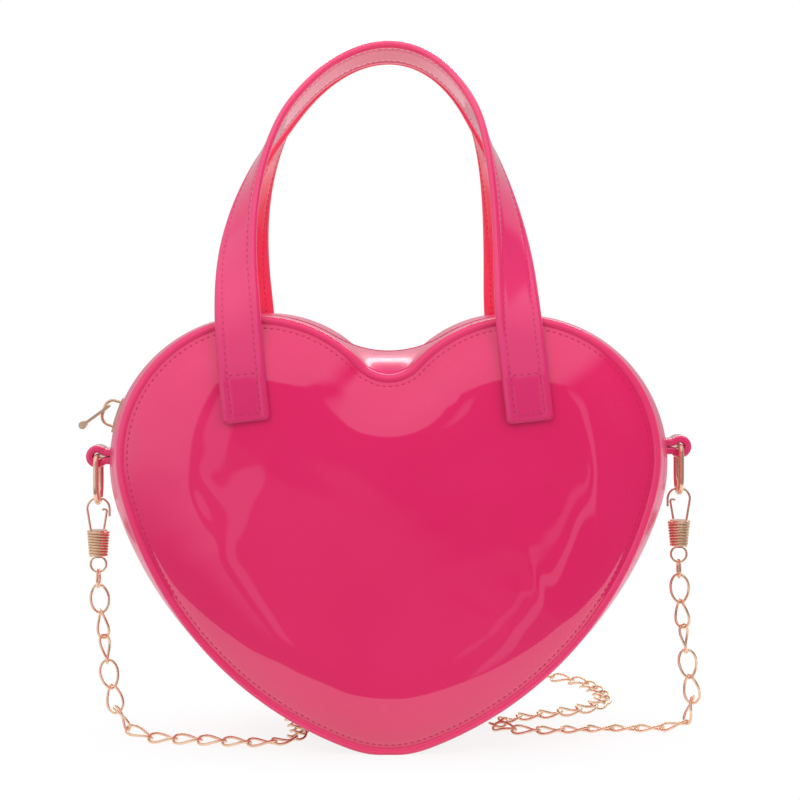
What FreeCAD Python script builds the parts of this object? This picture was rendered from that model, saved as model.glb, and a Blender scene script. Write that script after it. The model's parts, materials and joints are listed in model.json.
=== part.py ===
"""Heart shaped handbag: a puffed shell with a zip over the top, two strap handles and a chain strap.

All lengths are in millimetres. X runs to the right, Y away from the viewer, Z up.
The bag stands on its tip at z = 0, halfway between its two rims.
"""
import FreeCAD
import Part
import math
import os

os.makedirs("parts", exist_ok=True)
V = FreeCAD.Vector

# Heart outline of the rims
RIM_HALF_WIDTH = 93.3
RIM_LOBE_RADIUS = 48.5
RIM_LOBE_TOP = 150.0
RIM_DIP_HEIGHT = 8.3            # of the lobes' tops above the centre of the arc between them
RIM_SIDE_RADIUS = 125.0
RIM_TIP_RADIUS = 40.0
BASE_CUT = 0.5                  # the flat on which the bag stands

# How far the gusset's crest stands outside the rims
SIDE_CROWN = 6.0
LOBE_CROWN = 4.1
TOP_CROWN = 0.0
DIP_CROWN = 33.1                # upwards, of the centre of that arc
TIP_CROWN = 2.0

# Shell
RIM_HALF_DEPTH = 35.0           # from the middle to the centre of a rim's piping
PIPING_RADIUS = 1.7
GUSSET_WALL = 1.2
PANEL_WALL = 1.5
PANEL_DOME = 9.5                # how far a panel stands out in front of its flange
PANEL_DOME_RUN = 28.0           # how far from its edge the panel is curved
PANEL_GAP = 0.1                 # between a panel's edge and the piping
FLANGE_WIDTH = 1.2
LINING_WALL = 0.4
LINING_INSET = 4.0
DOME_POWER = 2.6
DOME_RUN_SHARES = (0, 0.12, 0.28, 0.5, 0.75, 1)
DEPTH_SHARES = (-1, -0.6, 0, 0.6, 1)

# Zip
ZIP_END_RISE = 6.1              # of the zip's ends above the centres of the crest's lobes
STRIP_HALF_GAP = 5.0
TAPE_HALF_GAP = 2.0
TAPE_HALF_WIDTH = 8.0
TAPE_WALL = 0.7
TAPE_DEPTH = 1.65               # of the tape's upper face below the crest
TOOTH_HALF_GAP = 0.6
TOOTH_GRIP = 0.6                # how far a tooth reaches over its tape
TOOTH_LENGTH = 1.0
TOOTH_HALF_HEIGHT = 1.1
TOOTH_PITCH = 2.2
TOOTH_SHIFT_SHARE = 0.25        # of the pitch, each row to its own side
STOP_LENGTH = 2.2
STOP_GAP = 0.6

# Zip slider and pull
SLIDER_LENGTH = 12.0
SLIDER_REST_GAP = 0.5           # to the end stop
SLIDER_PLAY = 0.3
SLIDER_HALF_WIDTH = 3.9
SLIDER_RIM = 1.0
SLIDER_TOP_WALL = 1.5
SLIDER_FLOOR_WALL = 0.9
POST_HALF_WIDTH = 0.3
POST_LENGTH = 3.0
BAIL_WIRE_RADIUS = 0.55
BAIL_SPAN = 9.0
BAIL_RISE = 5.0
BAIL_CORNER = 3.0
LEAF_LENGTH = 10.5              # from the bail to the tip
LEAF_TAIL = 2.6                 # inside the bail
LEAF_HALF_WIDTH = 2.4
LEAF_WALL = 1.0
LEAF_BULB_RADIUS = 1.4
LEAF_SLOT_LENGTH = 3.2
LEAF_SLOT_WIDTH = 1.8
LEAF_REST_ANGLE = 216.0         # degrees from +X towards +Z

# Strap handles
STRAP_WIDTH = 16.0
STRAP_WALL = 2.6
STRAP_ASIDE = 2.9               # of a leg's middle line outside the lobe's centre
STRAP_END_LENGTH = 17.8
STRAP_END_CORNER = 2.5
HINGE_DROP = 17.7               # of the hinge line below the lobes' tops
HINGE_PROUD = 0.3               # hinge line in front of the strap's face
STRAP_END_GAP = 0.3
STRAP_PLAY = 0.15               # between a handle's foot and the panel
SEWN_GAP = 0.05                 # between a sewn end and the panel
HANDLE_STRAIGHT = 30.0
HANDLE_ARCH_RISE = 87.0
HANDLE_SWAY = 4.8               # to the left, at most, halfway up the straps
HANDLE_GAP = 0.3                # from the middle of the bag to a handle's crown
TWIST_START = 12.0              # along a leg, where the strap begins to turn on edge
TWIST_LENGTH = 80.0
LEG_STEPS = 5
ARCH_STEPS = 12

# Side tabs and their rings
TAB_REACH = 4.9                 # from the gusset's side to the loop's centre
TAB_DROP = 0.7                  # of the right loop's centre below the zip's ends
TAB_STAGGER = 3.6               # of the left loop below the right one
TAB_WIDTH = 9.0
TAB_WALL = 2.2
RING_WIRE_RADIUS = 1.0
RING_PLAY = 0.3
RING_HALF_WIDTH = 6.5
RING_CORNER = 2.0
RING_STRAIGHT = 8.2

# Wire snap clasps
CLASP_WIRE_RADIUS = 0.4
CLASP_PLAY = 0.2
HOOK_HALF_WIDTH = 4.0
HOOK_LEG = 7.5
HOOK_TIP_LEG = 2.6
GATE_OVERLAP = 1.6              # of the gate behind the hook's tip
GATE_CURL_RADIUS = 0.8
GATE_CURL_END = 20.0            # degrees short of the half circle's end
GATE_INSET = 1.2                # of the gate's foot from the core's edge
CORE_HEIGHT = 9.9
CORE_TOP_RADIUS = 3.2
CORE_FOOT_RADIUS = 1.6
WINDING_WIRE_RADIUS = 0.27
WINDING_PLAY = 0.05
WINDING_TURNS = 9
WINDING_PITCH = 1.0
WINDING_CHECKS = 24             # points of each turn whose gaps are measured
EYE_RADIUS = 2.8
JUMP_RADIUS = 3.3
JUMP_WIRE_RADIUS = 0.45

# Chain
LINK_LENGTH = 10.9
LINK_WIDTH = 7.4
LINK_WIRE_RADIUS = 0.42
LINK_PLAY = 0.2
LINK_PITCH_MOST = LINK_LENGTH - 4 * LINK_WIRE_RADIUS - LINK_PLAY
DROP_LINKS = 5                  # hanging from each clasp
DROP_TURN = {"left": 52.0, "right": 56.0}     # degrees from one hanging link to the next
LYING_TILT = 38.0               # degrees, to either side in turn
LYING_SLACK = 0.45              # room in the link where the chain comes down
FLOOR_LINE = 2.7                # height of a lying chain's middle line
COIL_MIDDLE = (0.0, 116.0)
COIL_START = -60.0              # degrees from +X round to +Y
COIL_OUTER_RADIUS = 45.0
COIL_INNER_RADIUS = 31.4
COIL_LAYER = 6.6
COIL_HALF_TURNS = 3             # in each of its two layers
COIL_POINTS = 12                # of a whole turn
COIL_CLIMB_SHARES = (0.75, 1.25)    # of a layer's points, between which the coil climbs
LEAST_PITCH_SHARE = 0.97        # of the most, where the lying links are fitted between their ends
PITCH_HALVINGS = 40
LINE_POINTS = 40                # for each span of the chain's line

# The chain's route from the left clasp to the coil, and from the coil to the right clasp
LEFT_ROUTE = [
    (-102.5, -1.0, 38.0), (-100.0, -4.0, 22.0), (-96.0, -10.0, 7.0), (-88.0, -15.0, FLOOR_LINE),
    (-75.0, -17.0, FLOOR_LINE), (-60.0, -20.0, FLOOR_LINE), (-46.0, -24.0, FLOOR_LINE),
    (-33.0, -20.0, FLOOR_LINE), (-31.0, -4.0, FLOOR_LINE), (-35.0, 14.0, FLOOR_LINE),
    (-36.0, 34.0, FLOOR_LINE), (-30.0, 54.0, FLOOR_LINE), (-8.0, 68.0, FLOOR_LINE),
]
RIGHT_ROUTE = [
    (53.0, 96.0, 6.5), (66.0, 97.0, FLOOR_LINE), (77.0, 88.0, FLOOR_LINE), (81.0, 72.0, FLOOR_LINE),
    (84.0, 54.0, FLOOR_LINE), (78.0, 37.0, FLOOR_LINE), (62.0, 26.0, FLOOR_LINE), (45.0, 18.0, FLOOR_LINE),
    (36.0, 6.5, FLOOR_LINE), (46.0, -5.0, FLOOR_LINE), (64.0, -2.0, FLOOR_LINE), (82.0, 1.0, FLOOR_LINE),
    (99.0, -1.0, FLOOR_LINE), (110.0, -2.0, 4.5), (108.0, -1.5, 20.0), (105.5, 0.0, 38.0),
]

REACH = 400.0                   # larger than the whole bag


# Helpers

def node(name, shape):
    """Writes one named sub-part."""
    print(name, "solids", len(shape.Solids), "volume", round(shape.Volume, 2), "valid", shape.isValid())
    shape.exportStep("parts/" + name + ".step")


def joined(shapes):
    """Several touching solids as one."""
    return shapes[0].multiFuse(shapes[1:]).removeSplitter() if len(shapes) > 1 else shapes[0]


def mirrored_back(shape):
    """The same piece on the rear."""
    return shape.mirror(V(0, 0, 0), V(0, 1, 0))


def mirrored_left(shape):
    """The same piece on the other side."""
    return shape.mirror(V(0, 0, 0), V(1, 0, 0))


def smooth(share):
    """Eases from 0 to 1."""
    share = min(max(share, 0), 1)
    return share * share * (3 - 2 * share)


def tube(edges, radius):
    """A round wire along edges that follow on smoothly."""
    path = Part.Wire(edges)
    start = edges[0].valueAt(edges[0].FirstParameter)
    along = edges[0].tangentAt(edges[0].FirstParameter)
    ring = Part.Wire(Part.makeCircle(radius, start, along))
    return path.makePipeShell([ring], True, False)


def arc_edge(centre, radius, start, end, across, up):
    """An arc about centre from angle start to end, in degrees from across towards up."""
    points = []
    for angle in (start, (start + end) / 2, end):
        turn = math.radians(angle)
        points.append(centre + across * (radius * math.cos(turn)) + up * (radius * math.sin(turn)))
    return Part.Arc(*points).toShape()


# The heart, as tangent arcs

RIM = {
    "half_width": RIM_HALF_WIDTH, "lobe_radius": RIM_LOBE_RADIUS, "lobe_top": RIM_LOBE_TOP,
    "dip": RIM_DIP_HEIGHT, "side_radius": RIM_SIDE_RADIUS, "tip_radius": RIM_TIP_RADIUS,
    "bottom": -BASE_CUT,
}
CREST = {
    "half_width": RIM_HALF_WIDTH + SIDE_CROWN, "lobe_radius": RIM_LOBE_RADIUS + LOBE_CROWN,
    "lobe_top": RIM_LOBE_TOP + TOP_CROWN, "dip": RIM_DIP_HEIGHT - DIP_CROWN,
    "side_radius": RIM_SIDE_RADIUS, "tip_radius": RIM_TIP_RADIUS + TIP_CROWN, "bottom": -BASE_CUT,
}


def heart(sizes):
    """The outline's arcs from the tip round by the right: (x, z, radius, start, end, sense), in degrees."""
    lobe_r, side_r, tip_r = sizes["lobe_radius"], sizes["side_radius"], sizes["tip_radius"]
    lobe_x, lobe_z = sizes["half_width"] - lobe_r, sizes["lobe_top"] - lobe_r
    tip_z = sizes["bottom"] + tip_r
    dip_z = sizes["lobe_top"] - sizes["dip"]
    dip_r = math.hypot(lobe_x, dip_z - lobe_z) - lobe_r
    across, down = -lobe_x, tip_z - lobe_z
    apart = math.hypot(across, down)
    to_lobe, to_tip = side_r - lobe_r, side_r - tip_r
    along = (to_lobe ** 2 - to_tip ** 2 + apart ** 2) / (2 * apart)
    aside = math.sqrt(to_lobe ** 2 - along ** 2)
    side_x = lobe_x + (along * across + aside * down) / apart
    side_z = lobe_z + (along * down - aside * across) / apart
    tip_end = math.degrees(math.atan2(tip_z - side_z, -side_x))
    side_end = math.degrees(math.atan2(lobe_z - side_z, lobe_x - side_x))
    lobe_end = math.degrees(math.atan2(dip_z - lobe_z, -lobe_x))
    return [
        (0, tip_z, tip_r, -180 - tip_end, tip_end, 1),
        (side_x, side_z, side_r, tip_end, side_end, 1),
        (lobe_x, lobe_z, lobe_r, side_end, lobe_end, 1),
        (0, dip_z, dip_r, lobe_end - 180, -lobe_end, -1),
        (-lobe_x, lobe_z, lobe_r, 180 - lobe_end, 180 - side_end, 1),
        (-side_x, side_z, side_r, 180 - side_end, 180 - tip_end, 1),
    ]


def mixed(share):
    """The sizes of an outline between the rim's, at 0, and the crest's, at 1."""
    return {key: RIM[key] + (CREST[key] - RIM[key]) * share for key in RIM}


def outline(arcs, outwards, y):
    """The closed wire of a heart, moved outwards, at depth y."""
    edges = []
    for x, z, radius, start, end, sense in arcs:
        edges.append(arc_edge(V(x, y, z), radius + sense * outwards, start, end, V(1, 0, 0), V(0, 0, 1)))
    return Part.Wire(edges)


def swept(arcs, profile):
    """A profile carried round arcs: profile, given the radius of an offset, makes a face at +X."""
    spans = []
    for x, z, radius, start, end, sense in arcs:
        face = profile(lambda outwards: radius + sense * outwards)
        face.rotate(V(0, 0, 0), V(0, -1, 0), start)
        face.translate(V(x, 0, z))
        spans.append(face.revolve(V(x, 0, z), V(0, -1, 0), end - start))
    return joined(spans)


def band(low, high, near, far):
    """A rectangular profile for swept, from offset low to high and depth near to far."""
    def profile(radius_of):
        corners = [(low, near), (high, near), (high, far), (low, far), (low, near)]
        return Part.Face(Part.makePolygon([V(radius_of(out), y, 0) for out, y in corners]))
    return profile


rim_arcs = heart(RIM)
crest_arcs = heart(CREST)
floor_cut = Part.makeBox(2 * REACH, 2 * REACH, REACH, V(-REACH, -REACH, -REACH))


# Panels

flange_back = RIM_HALF_DEPTH - PANEL_WALL / 2
flange_front = flange_back + PANEL_WALL
panel_edge = 2 * PIPING_RADIUS + PANEL_GAP
dome_edge = panel_edge + FLANGE_WIDTH


def dome_height(run):
    """How far a panel stands out, run inside the edge of its dome."""
    return PANEL_DOME * (1 - (1 - run / PANEL_DOME_RUN) ** DOME_POWER)


def make_dome():
    """The front panel's dome as a full body."""
    wires = []
    for share in DOME_RUN_SHARES:
        run = share * PANEL_DOME_RUN
        wires.append(outline(rim_arcs, -(dome_edge + run), -(flange_front + dome_height(run))))
    return Part.makeLoft(wires, True, False)


def make_panel(dome):
    """A domed skin with a flat flange at its edge."""
    plate = Part.Face(outline(rim_arcs, -panel_edge, -flange_front)).extrude(V(0, PANEL_WALL, 0))
    hollow = dome.copy()
    hollow.translate(V(0, PANEL_WALL, 0))
    return plate.fuse(dome).cut(hollow)


dome = make_dome()
front_panel = make_panel(dome)
node("front_panel", front_panel)
node("rear_panel", mirrored_back(front_panel))
lining = Part.Face(outline(rim_arcs, -LINING_INSET, -flange_back)).extrude(V(0, LINING_WALL, 0))
node("front_lining", lining)
node("rear_lining", mirrored_back(lining))


# Piping round the rims

def bead(radius_of):
    """The round profile of the piping."""
    centre = V(radius_of(-PIPING_RADIUS), -RIM_HALF_DEPTH, 0)
    return Part.Face(Part.Wire(Part.makeCircle(PIPING_RADIUS, centre, V(0, 0, 1))))


front_piping = swept(rim_arcs, bead).cut(floor_cut)
node("front_piping", front_piping)
node("rear_piping", mirrored_back(front_piping))


# Gusset and zip strips

gusset_half = RIM_HALF_DEPTH - PIPING_RADIUS


def barrel(outwards):
    """The full body inside the gusset's skin, moved outwards."""
    wires = []
    for share in DEPTH_SHARES:
        wires.append(outline(heart(mixed(1 - share * share)), outwards, share * gusset_half))
    return Part.makeLoft(wires, True, False)


bag_body = barrel(0)
hoop = bag_body.cut(barrel(-GUSSET_WALL)).cut(floor_cut)
left_lobe = crest_arcs[4]
lobe_x, lobe_z, lobe_r = left_lobe[0], left_lobe[1], left_lobe[2]
zip_end_z = lobe_z + ZIP_END_RISE
upper = Part.makeBox(2 * REACH, 2 * REACH, REACH, V(-REACH, -REACH, zip_end_z))
front_side = Part.makeBox(2 * REACH, REACH, 2 * REACH, V(-REACH, -REACH - STRIP_HALF_GAP, -REACH))
node("lower_gusset", hoop.cut(upper))
front_strip = hoop.common(upper).common(front_side)
node("front_zip_strip", front_strip)
node("rear_zip_strip", mirrored_back(front_strip))


# Zip tapes and teeth

zip_end = 180 - math.degrees(math.asin(ZIP_END_RISE / (lobe_r - TAPE_DEPTH - TAPE_WALL)))
zip_arcs = [
    (-lobe_x, lobe_z, lobe_r, 180 - zip_end, crest_arcs[2][4], 1),
    crest_arcs[3],
    (lobe_x, lobe_z, lobe_r, left_lobe[3], zip_end, 1),
]
tape_middle = -(TAPE_DEPTH + TAPE_WALL / 2)
front_tape = swept(zip_arcs, band(-TAPE_DEPTH - TAPE_WALL, -TAPE_DEPTH, -TAPE_HALF_WIDTH, -TAPE_HALF_GAP))
node("front_zip_tape", front_tape)
node("rear_zip_tape", mirrored_back(front_tape))


def zip_lengths():
    """The length of each arc of the zip, along the middle of its tape."""
    return [math.radians(abs(a[4] - a[3])) * (a[2] + a[5] * tape_middle) for a in zip_arcs]


def zip_place(along):
    """The arc's centre and the angle at a length along the zip, from its right end."""
    lengths = zip_lengths()
    for arc, length in zip(zip_arcs, lengths):
        if along <= length:
            break
        along -= length
    x, z, radius, start, end, sense = arc
    return V(x, 0, z), start + (end - start) * along / length, radius, sense


def zip_block(along, length, near, far):
    """A block across the zip at a length along it, clear of the tape."""
    centre, angle, radius, sense = zip_place(along)
    low = radius + sense * tape_middle - TOOTH_HALF_HEIGHT
    block = Part.makeBox(2 * TOOTH_HALF_HEIGHT, far - near, length, V(low, near, -length / 2))
    tape_low = radius + sense * tape_middle - TAPE_WALL / 2
    slot = Part.makeBox(TAPE_WALL, REACH, REACH, V(tape_low, -REACH - TAPE_HALF_GAP, -REACH / 2))
    block = block.cut(slot)
    block.rotate(V(0, 0, 0), V(0, -1, 0), angle)
    block.translate(centre)
    return block


def make_teeth(shift):
    """One row of teeth on the front tape, moved along by shift."""
    total = sum(zip_lengths())
    ends = 2 * STOP_GAP + STOP_LENGTH
    count = int((total - 2 * ends) / TOOTH_PITCH)
    first = ends + TOOTH_PITCH / 2 + shift
    teeth = []
    for index in range(count):
        along = first + index * TOOTH_PITCH
        teeth.append(zip_block(along, TOOTH_LENGTH, -TAPE_HALF_GAP - TOOTH_GRIP, -TOOTH_HALF_GAP))
    return Part.makeCompound(teeth)


tooth_shift = TOOTH_SHIFT_SHARE * TOOTH_PITCH
node("front_zip_teeth", make_teeth(-tooth_shift))
node("rear_zip_teeth", mirrored_back(make_teeth(tooth_shift)))
stops = []
for along in (STOP_GAP + STOP_LENGTH / 2, sum(zip_lengths()) - STOP_GAP - STOP_LENGTH / 2):
    stop = zip_block(along, STOP_LENGTH, -TAPE_HALF_GAP - TOOTH_GRIP, -TOOTH_HALF_GAP)
    stops += [stop, mirrored_back(stop)]
node("zip_end_stops", Part.makeCompound(stops))


# Zip slider, which turns about the centre of the left lobe

slider_r = lobe_r + tape_middle
slider_end = zip_end - math.degrees((STOP_LENGTH + 2 * STOP_GAP + SLIDER_REST_GAP) / slider_r)
slider_half_turn = math.degrees(SLIDER_LENGTH / 2 / slider_r)
slider_angle = slider_end - slider_half_turn
slider_low = tape_middle - TOOTH_HALF_HEIGHT - SLIDER_PLAY
slider_high = tape_middle + TOOTH_HALF_HEIGHT + SLIDER_PLAY
slider_top = slider_high + SLIDER_TOP_WALL


def slider_piece(low, high, near, far, half_turn):
    """A block of the slider, bent round the lobe."""
    arc = (lobe_x, lobe_z, lobe_r, slider_angle - half_turn, slider_angle + half_turn, 1)
    return swept([arc], band(low, high, near, far))


def make_slider():
    """Two plates with turned edges, joined by a post that runs between the rows of teeth."""
    wide, lip = SLIDER_HALF_WIDTH, SLIDER_HALF_WIDTH - SLIDER_RIM
    over = -TAPE_DEPTH + SLIDER_PLAY
    under = -TAPE_DEPTH - TAPE_WALL - SLIDER_PLAY
    full = slider_half_turn
    floor_low = slider_low - SLIDER_FLOOR_WALL
    pieces = [
        slider_piece(slider_high, slider_top, -wide, wide, full),
        slider_piece(floor_low, slider_low, -wide, wide, full),
        slider_piece(floor_low, slider_top, -POST_HALF_WIDTH, POST_HALF_WIDTH,
                     full * POST_LENGTH / SLIDER_LENGTH),
    ]
    for near, far in ((-wide, -lip), (lip, wide)):
        pieces.append(slider_piece(over, slider_top, near, far, full))
        pieces.append(slider_piece(floor_low, under, near, far, full))
    return joined(pieces)


node("zip_slider", make_slider())

outward = V(math.cos(math.radians(slider_angle)), 0, math.sin(math.radians(slider_angle)))
upward = V(outward.z, 0, -outward.x)
slider_seat = V(lobe_x, 0, lobe_z) + outward * (lobe_r + slider_top)


def make_bail():
    """A wire arch standing on the slider's upper plate."""
    half, bend = BAIL_SPAN / 2, BAIL_CORNER
    sink = (SLIDER_LENGTH / 2) ** 2 / (2 * lobe_r)

    def place(along, out):
        return slider_seat + upward * along + outward * out

    rise = BAIL_RISE
    edges = [
        Part.LineSegment(place(-half, -sink), place(-half, rise - bend)).toShape(),
        arc_edge(place(bend - half, rise - bend), bend, 180, 90, upward, outward),
        Part.LineSegment(place(bend - half, rise), place(half - bend, rise)).toShape(),
        arc_edge(place(half - bend, rise - bend), bend, 90, 0, upward, outward),
        Part.LineSegment(place(half, rise - bend), place(half, -sink)).toShape(),
    ]
    seat = slider_piece(slider_low, slider_top, -REACH, REACH, 2 * slider_half_turn)
    return tube(edges, BAIL_WIRE_RADIUS).cut(seat)


node("slider_bail", make_bail())
bail_apex = slider_seat + outward * BAIL_RISE


def make_leaf():
    """A flat pull with a slot for the bail and a thick rounded tip, made along +X and then turned."""
    neck = LEAF_LENGTH - LEAF_BULB_RADIUS
    plate = Part.makeBox(neck + LEAF_TAIL, 2 * LEAF_HALF_WIDTH, LEAF_WALL,
                         V(-LEAF_TAIL, -LEAF_HALF_WIDTH, -LEAF_WALL / 2))
    slot = Part.makeBox(LEAF_SLOT_LENGTH, LEAF_SLOT_WIDTH, REACH,
                        V(-LEAF_SLOT_LENGTH / 2, -LEAF_SLOT_WIDTH / 2, -REACH / 2))
    side = V(neck, -LEAF_HALF_WIDTH, 0)
    bulb = Part.makeCylinder(LEAF_BULB_RADIUS, 2 * LEAF_HALF_WIDTH, side, V(0, 1, 0))
    leaf = plate.fuse(bulb).cut(slot).removeSplitter()
    leaf.rotate(V(0, 0, 0), V(0, -1, 0), LEAF_REST_ANGLE)
    leaf.translate(bail_apex)
    return leaf


node("slider_pull", make_leaf())


# Strap handles

leg_x = RIM_HALF_WIDTH - RIM_LOBE_RADIUS + STRAP_ASIDE
hinge_z = RIM_LOBE_TOP - HINGE_DROP
leg_run = math.hypot(max(STRAP_ASIDE - STRAP_WIDTH / 2, 0), RIM_LOBE_RADIUS - HINGE_DROP)
hinge_dome = dome_height(min(RIM_LOBE_RADIUS - leg_run - dome_edge, PANEL_DOME_RUN))
strap_back = -(flange_front + hinge_dome + STRAP_PLAY)
hinge_y = strap_back - STRAP_WALL - HINGE_PROUD
handle_rise = HANDLE_STRAIGHT + HANDLE_ARCH_RISE


def sway(up):
    """How far a strap has drifted to the left, up from its hinge, and how fast it drifts there."""
    whole = handle_rise + STRAP_END_LENGTH
    turn = math.pi * (up + STRAP_END_LENGTH) / whole
    return HANDLE_SWAY * math.sin(turn), HANDLE_SWAY * math.pi / whole * math.cos(turn)


def make_strap_ends():
    """Both sewn ends of the front strap, lying on the domed panel and tilted as the strap sways."""
    under, layer = dome.copy(), dome.copy()
    under.translate(V(0, -SEWN_GAP, 0))
    layer.translate(V(0, -SEWN_GAP - STRAP_WALL, 0))
    layer = layer.cut(under)
    above = Part.makeBox(2 * REACH, 2 * REACH, REACH, V(-REACH, -REACH, hinge_z - STRAP_END_GAP))
    layer = layer.cut(above)
    drift, slope = sway(0)
    foot = hinge_z - STRAP_END_LENGTH
    ends = []
    for x in (-leg_x - drift, leg_x - drift):
        corner = V(x - STRAP_WIDTH / 2, -REACH, foot)
        shape = Part.makeBox(STRAP_WIDTH, REACH, STRAP_END_LENGTH + STRAP_WIDTH, corner)
        lower = [e for e in shape.Edges if e.CenterOfMass.z < hinge_z]
        corners = [e for e in lower if e.BoundBox.YLength > STRAP_WIDTH]
        shape = shape.makeFillet(STRAP_END_CORNER, corners)
        shape.rotate(V(x, 0, hinge_z), V(0, -1, 0), math.degrees(math.atan(slope)))
        ends.append(layer.common(shape))
    return Part.makeCompound(ends)


strap_ends = make_strap_ends()
node("front_handle_ends", strap_ends)
node("rear_handle_ends", mirrored_back(strap_ends))

foot_y = strap_back - STRAP_WALL / 2
crown_run = math.hypot(handle_rise + STRAP_WALL / 2, STRAP_WIDTH / 2)
lean = math.asin((-foot_y - HANDLE_GAP) / crown_run) - math.asin(STRAP_WIDTH / 2 / crown_run)
lean_up = V(0, math.sin(lean), math.cos(lean))
lean_front = V(0, -math.cos(lean), math.sin(lean))
handle_foot = V(0, foot_y, hinge_z)


def handle_stations():
    """Places along the arch: (across, up the leaning plane, slope of the path from straight up)."""
    first = STRAP_END_GAP / math.cos(lean)
    places = []
    for step in range(LEG_STEPS):
        places.append((-leg_x, first + (HANDLE_STRAIGHT - first) * step / LEG_STEPS, 0, 1))
    for step in range(2 * ARCH_STEPS + 1):
        turn = math.pi / 2 * step / ARCH_STEPS
        run, climb = leg_x * math.sin(turn), HANDLE_ARCH_RISE * math.cos(turn)
        up = HANDLE_STRAIGHT + HANDLE_ARCH_RISE * math.sin(turn)
        places.append((-leg_x * math.cos(turn), up, run, climb))
    for x, up, run, climb in reversed(places[:LEG_STEPS]):
        places.append((-x, up, run, -climb))
    stations = []
    for x, up, run, climb in places:
        drift, rate = sway(up)
        stations.append((x - drift, up, math.atan2(run - rate * climb, climb)))
    return stations


def make_handle():
    """A flat strap that arches over, turning on edge as it climbs."""
    wires = []
    stations = handle_stations()
    for x, up, slope in stations:
        inward = V(math.cos(slope), 0, 0) - lean_up * math.sin(slope)
        twist = math.pi / 2 * min(max((up - TWIST_START) / TWIST_LENGTH, 0), 1)
        across = inward * math.cos(twist) + lean_front * math.sin(twist)
        along = V(math.sin(slope), 0, 0) + lean_up * math.cos(slope)
        thick = across.cross(along)
        if up < TWIST_START:
            across, thick = V(math.copysign(1, along.z), 0, 0), V(0, -1, 0)
        middle = handle_foot + V(x, 0, 0) + lean_up * up
        half_w, half_t = across * (STRAP_WIDTH / 2), thick * (STRAP_WALL / 2)
        corners = [middle - half_w - half_t, middle + half_w - half_t,
                   middle + half_w + half_t, middle - half_w + half_t]
        wires.append(Part.makePolygon(corners + corners[:1]))
    return Part.makeLoft(wires, True, False)


front_handle = make_handle()
node("front_handle", front_handle)
node("rear_handle", mirrored_back(front_handle))


# Side tabs and rings

tab_x = RIM_HALF_WIDTH + SIDE_CROWN + TAB_REACH
tab_z = zip_end_z - TAB_DROP
tab_hole = RING_WIRE_RADIUS + RING_PLAY
tab_r = tab_hole + TAB_WALL


def lowered_left(shape):
    """The same piece on the left, which hangs lower."""
    return mirrored_left(shape).translated(V(0, 0, -TAB_STAGGER))


def make_tab(height):
    """The right tab, at a height: a strip folded into a loop, with both ends sewn to the gusset."""
    start = V(tab_x, -TAB_WIDTH / 2, height)
    loop = Part.makeCylinder(tab_r, TAB_WIDTH, start, V(0, 1, 0))
    hole = Part.makeCylinder(tab_hole, TAB_WIDTH, start, V(0, 1, 0))
    tail = Part.makeBox(tab_x, TAB_WIDTH, 2 * TAB_WALL, V(0, -TAB_WIDTH / 2, height - TAB_WALL))
    return loop.fuse(tail).cut(hole).cut(bag_body).removeSplitter()


node("right_tab", make_tab(tab_z))
node("left_tab", mirrored_left(make_tab(tab_z - TAB_STAGGER)))


def make_ring():
    """The right ring: a straight bar through the tab, with a round bow hanging below it."""
    half, bend, leg = RING_HALF_WIDTH, RING_CORNER, RING_STRAIGHT

    def place(y, drop):
        return V(tab_x, y, tab_z - drop)

    side, up = V(0, 1, 0), V(0, 0, 1)
    edges = [
        Part.LineSegment(place(0, 0), place(half - bend, 0)).toShape(),
        arc_edge(place(half - bend, bend), bend, 90, 0, side, up),
        Part.LineSegment(place(half, bend), place(half, bend + leg)).toShape(),
        arc_edge(place(0, bend + leg), half, 0, -180, side, up),
        Part.LineSegment(place(-half, bend + leg), place(-half, bend)).toShape(),
        arc_edge(place(bend - half, bend), bend, 180, 90, side, up),
        Part.LineSegment(place(bend - half, 0), place(0, 0)).toShape(),
    ]
    return tube(edges, RING_WIRE_RADIUS)


ring = make_ring()
node("right_ring", ring)
node("left_ring", lowered_left(ring))
ring_drop = RING_CORNER + RING_STRAIGHT + RING_HALF_WIDTH
ring_bow = tab_z - ring_drop


# Wire snap clasps, hanging in the rings

hook_top = ring_bow + RING_WIRE_RADIUS + CLASP_PLAY + CLASP_WIRE_RADIUS
hook_arc_z = hook_top - HOOK_HALF_WIDTH
core_top = hook_arc_z - HOOK_LEG
core_foot = core_top - CORE_HEIGHT


def clasp_place(x, z):
    """A point of the right clasp, x outwards from its middle line."""
    return V(tab_x + x, 0, z)


def make_hook():
    """The outer leg, the bow through the ring, and the short tip on the bag's side."""
    half = HOOK_HALF_WIDTH
    foot = CORE_TOP_RADIUS - CLASP_WIRE_RADIUS - WINDING_PLAY
    right, left = clasp_place(half, hook_arc_z), clasp_place(-half, hook_arc_z)
    edges = [
        Part.LineSegment(clasp_place(foot, core_top), right).toShape(),
        Part.Arc(right, clasp_place(0, hook_top), left).toShape(),
        Part.LineSegment(left, clasp_place(-half, hook_arc_z - HOOK_TIP_LEG)).toShape(),
    ]
    hook = tube(edges, CLASP_WIRE_RADIUS)
    below = Part.makeBox(2 * REACH, 2 * REACH, REACH, V(-REACH, -REACH, core_top - REACH))
    return hook.cut(below)


def make_core():
    """The plain taper that the winding grips."""
    foot = clasp_place(0, core_foot)
    return Part.makeCone(CORE_FOOT_RADIUS, CORE_TOP_RADIUS, CORE_HEIGHT, foot, V(0, 0, 1))


gate_foot_x = -(CORE_TOP_RADIUS - GATE_INSET)
gate_foot_z = core_top + CLASP_PLAY + CLASP_WIRE_RADIUS
gate_x = -(HOOK_HALF_WIDTH - 2 * CLASP_WIRE_RADIUS - CLASP_PLAY)
gate_top_z = hook_arc_z - HOOK_TIP_LEG + GATE_OVERLAP


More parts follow.
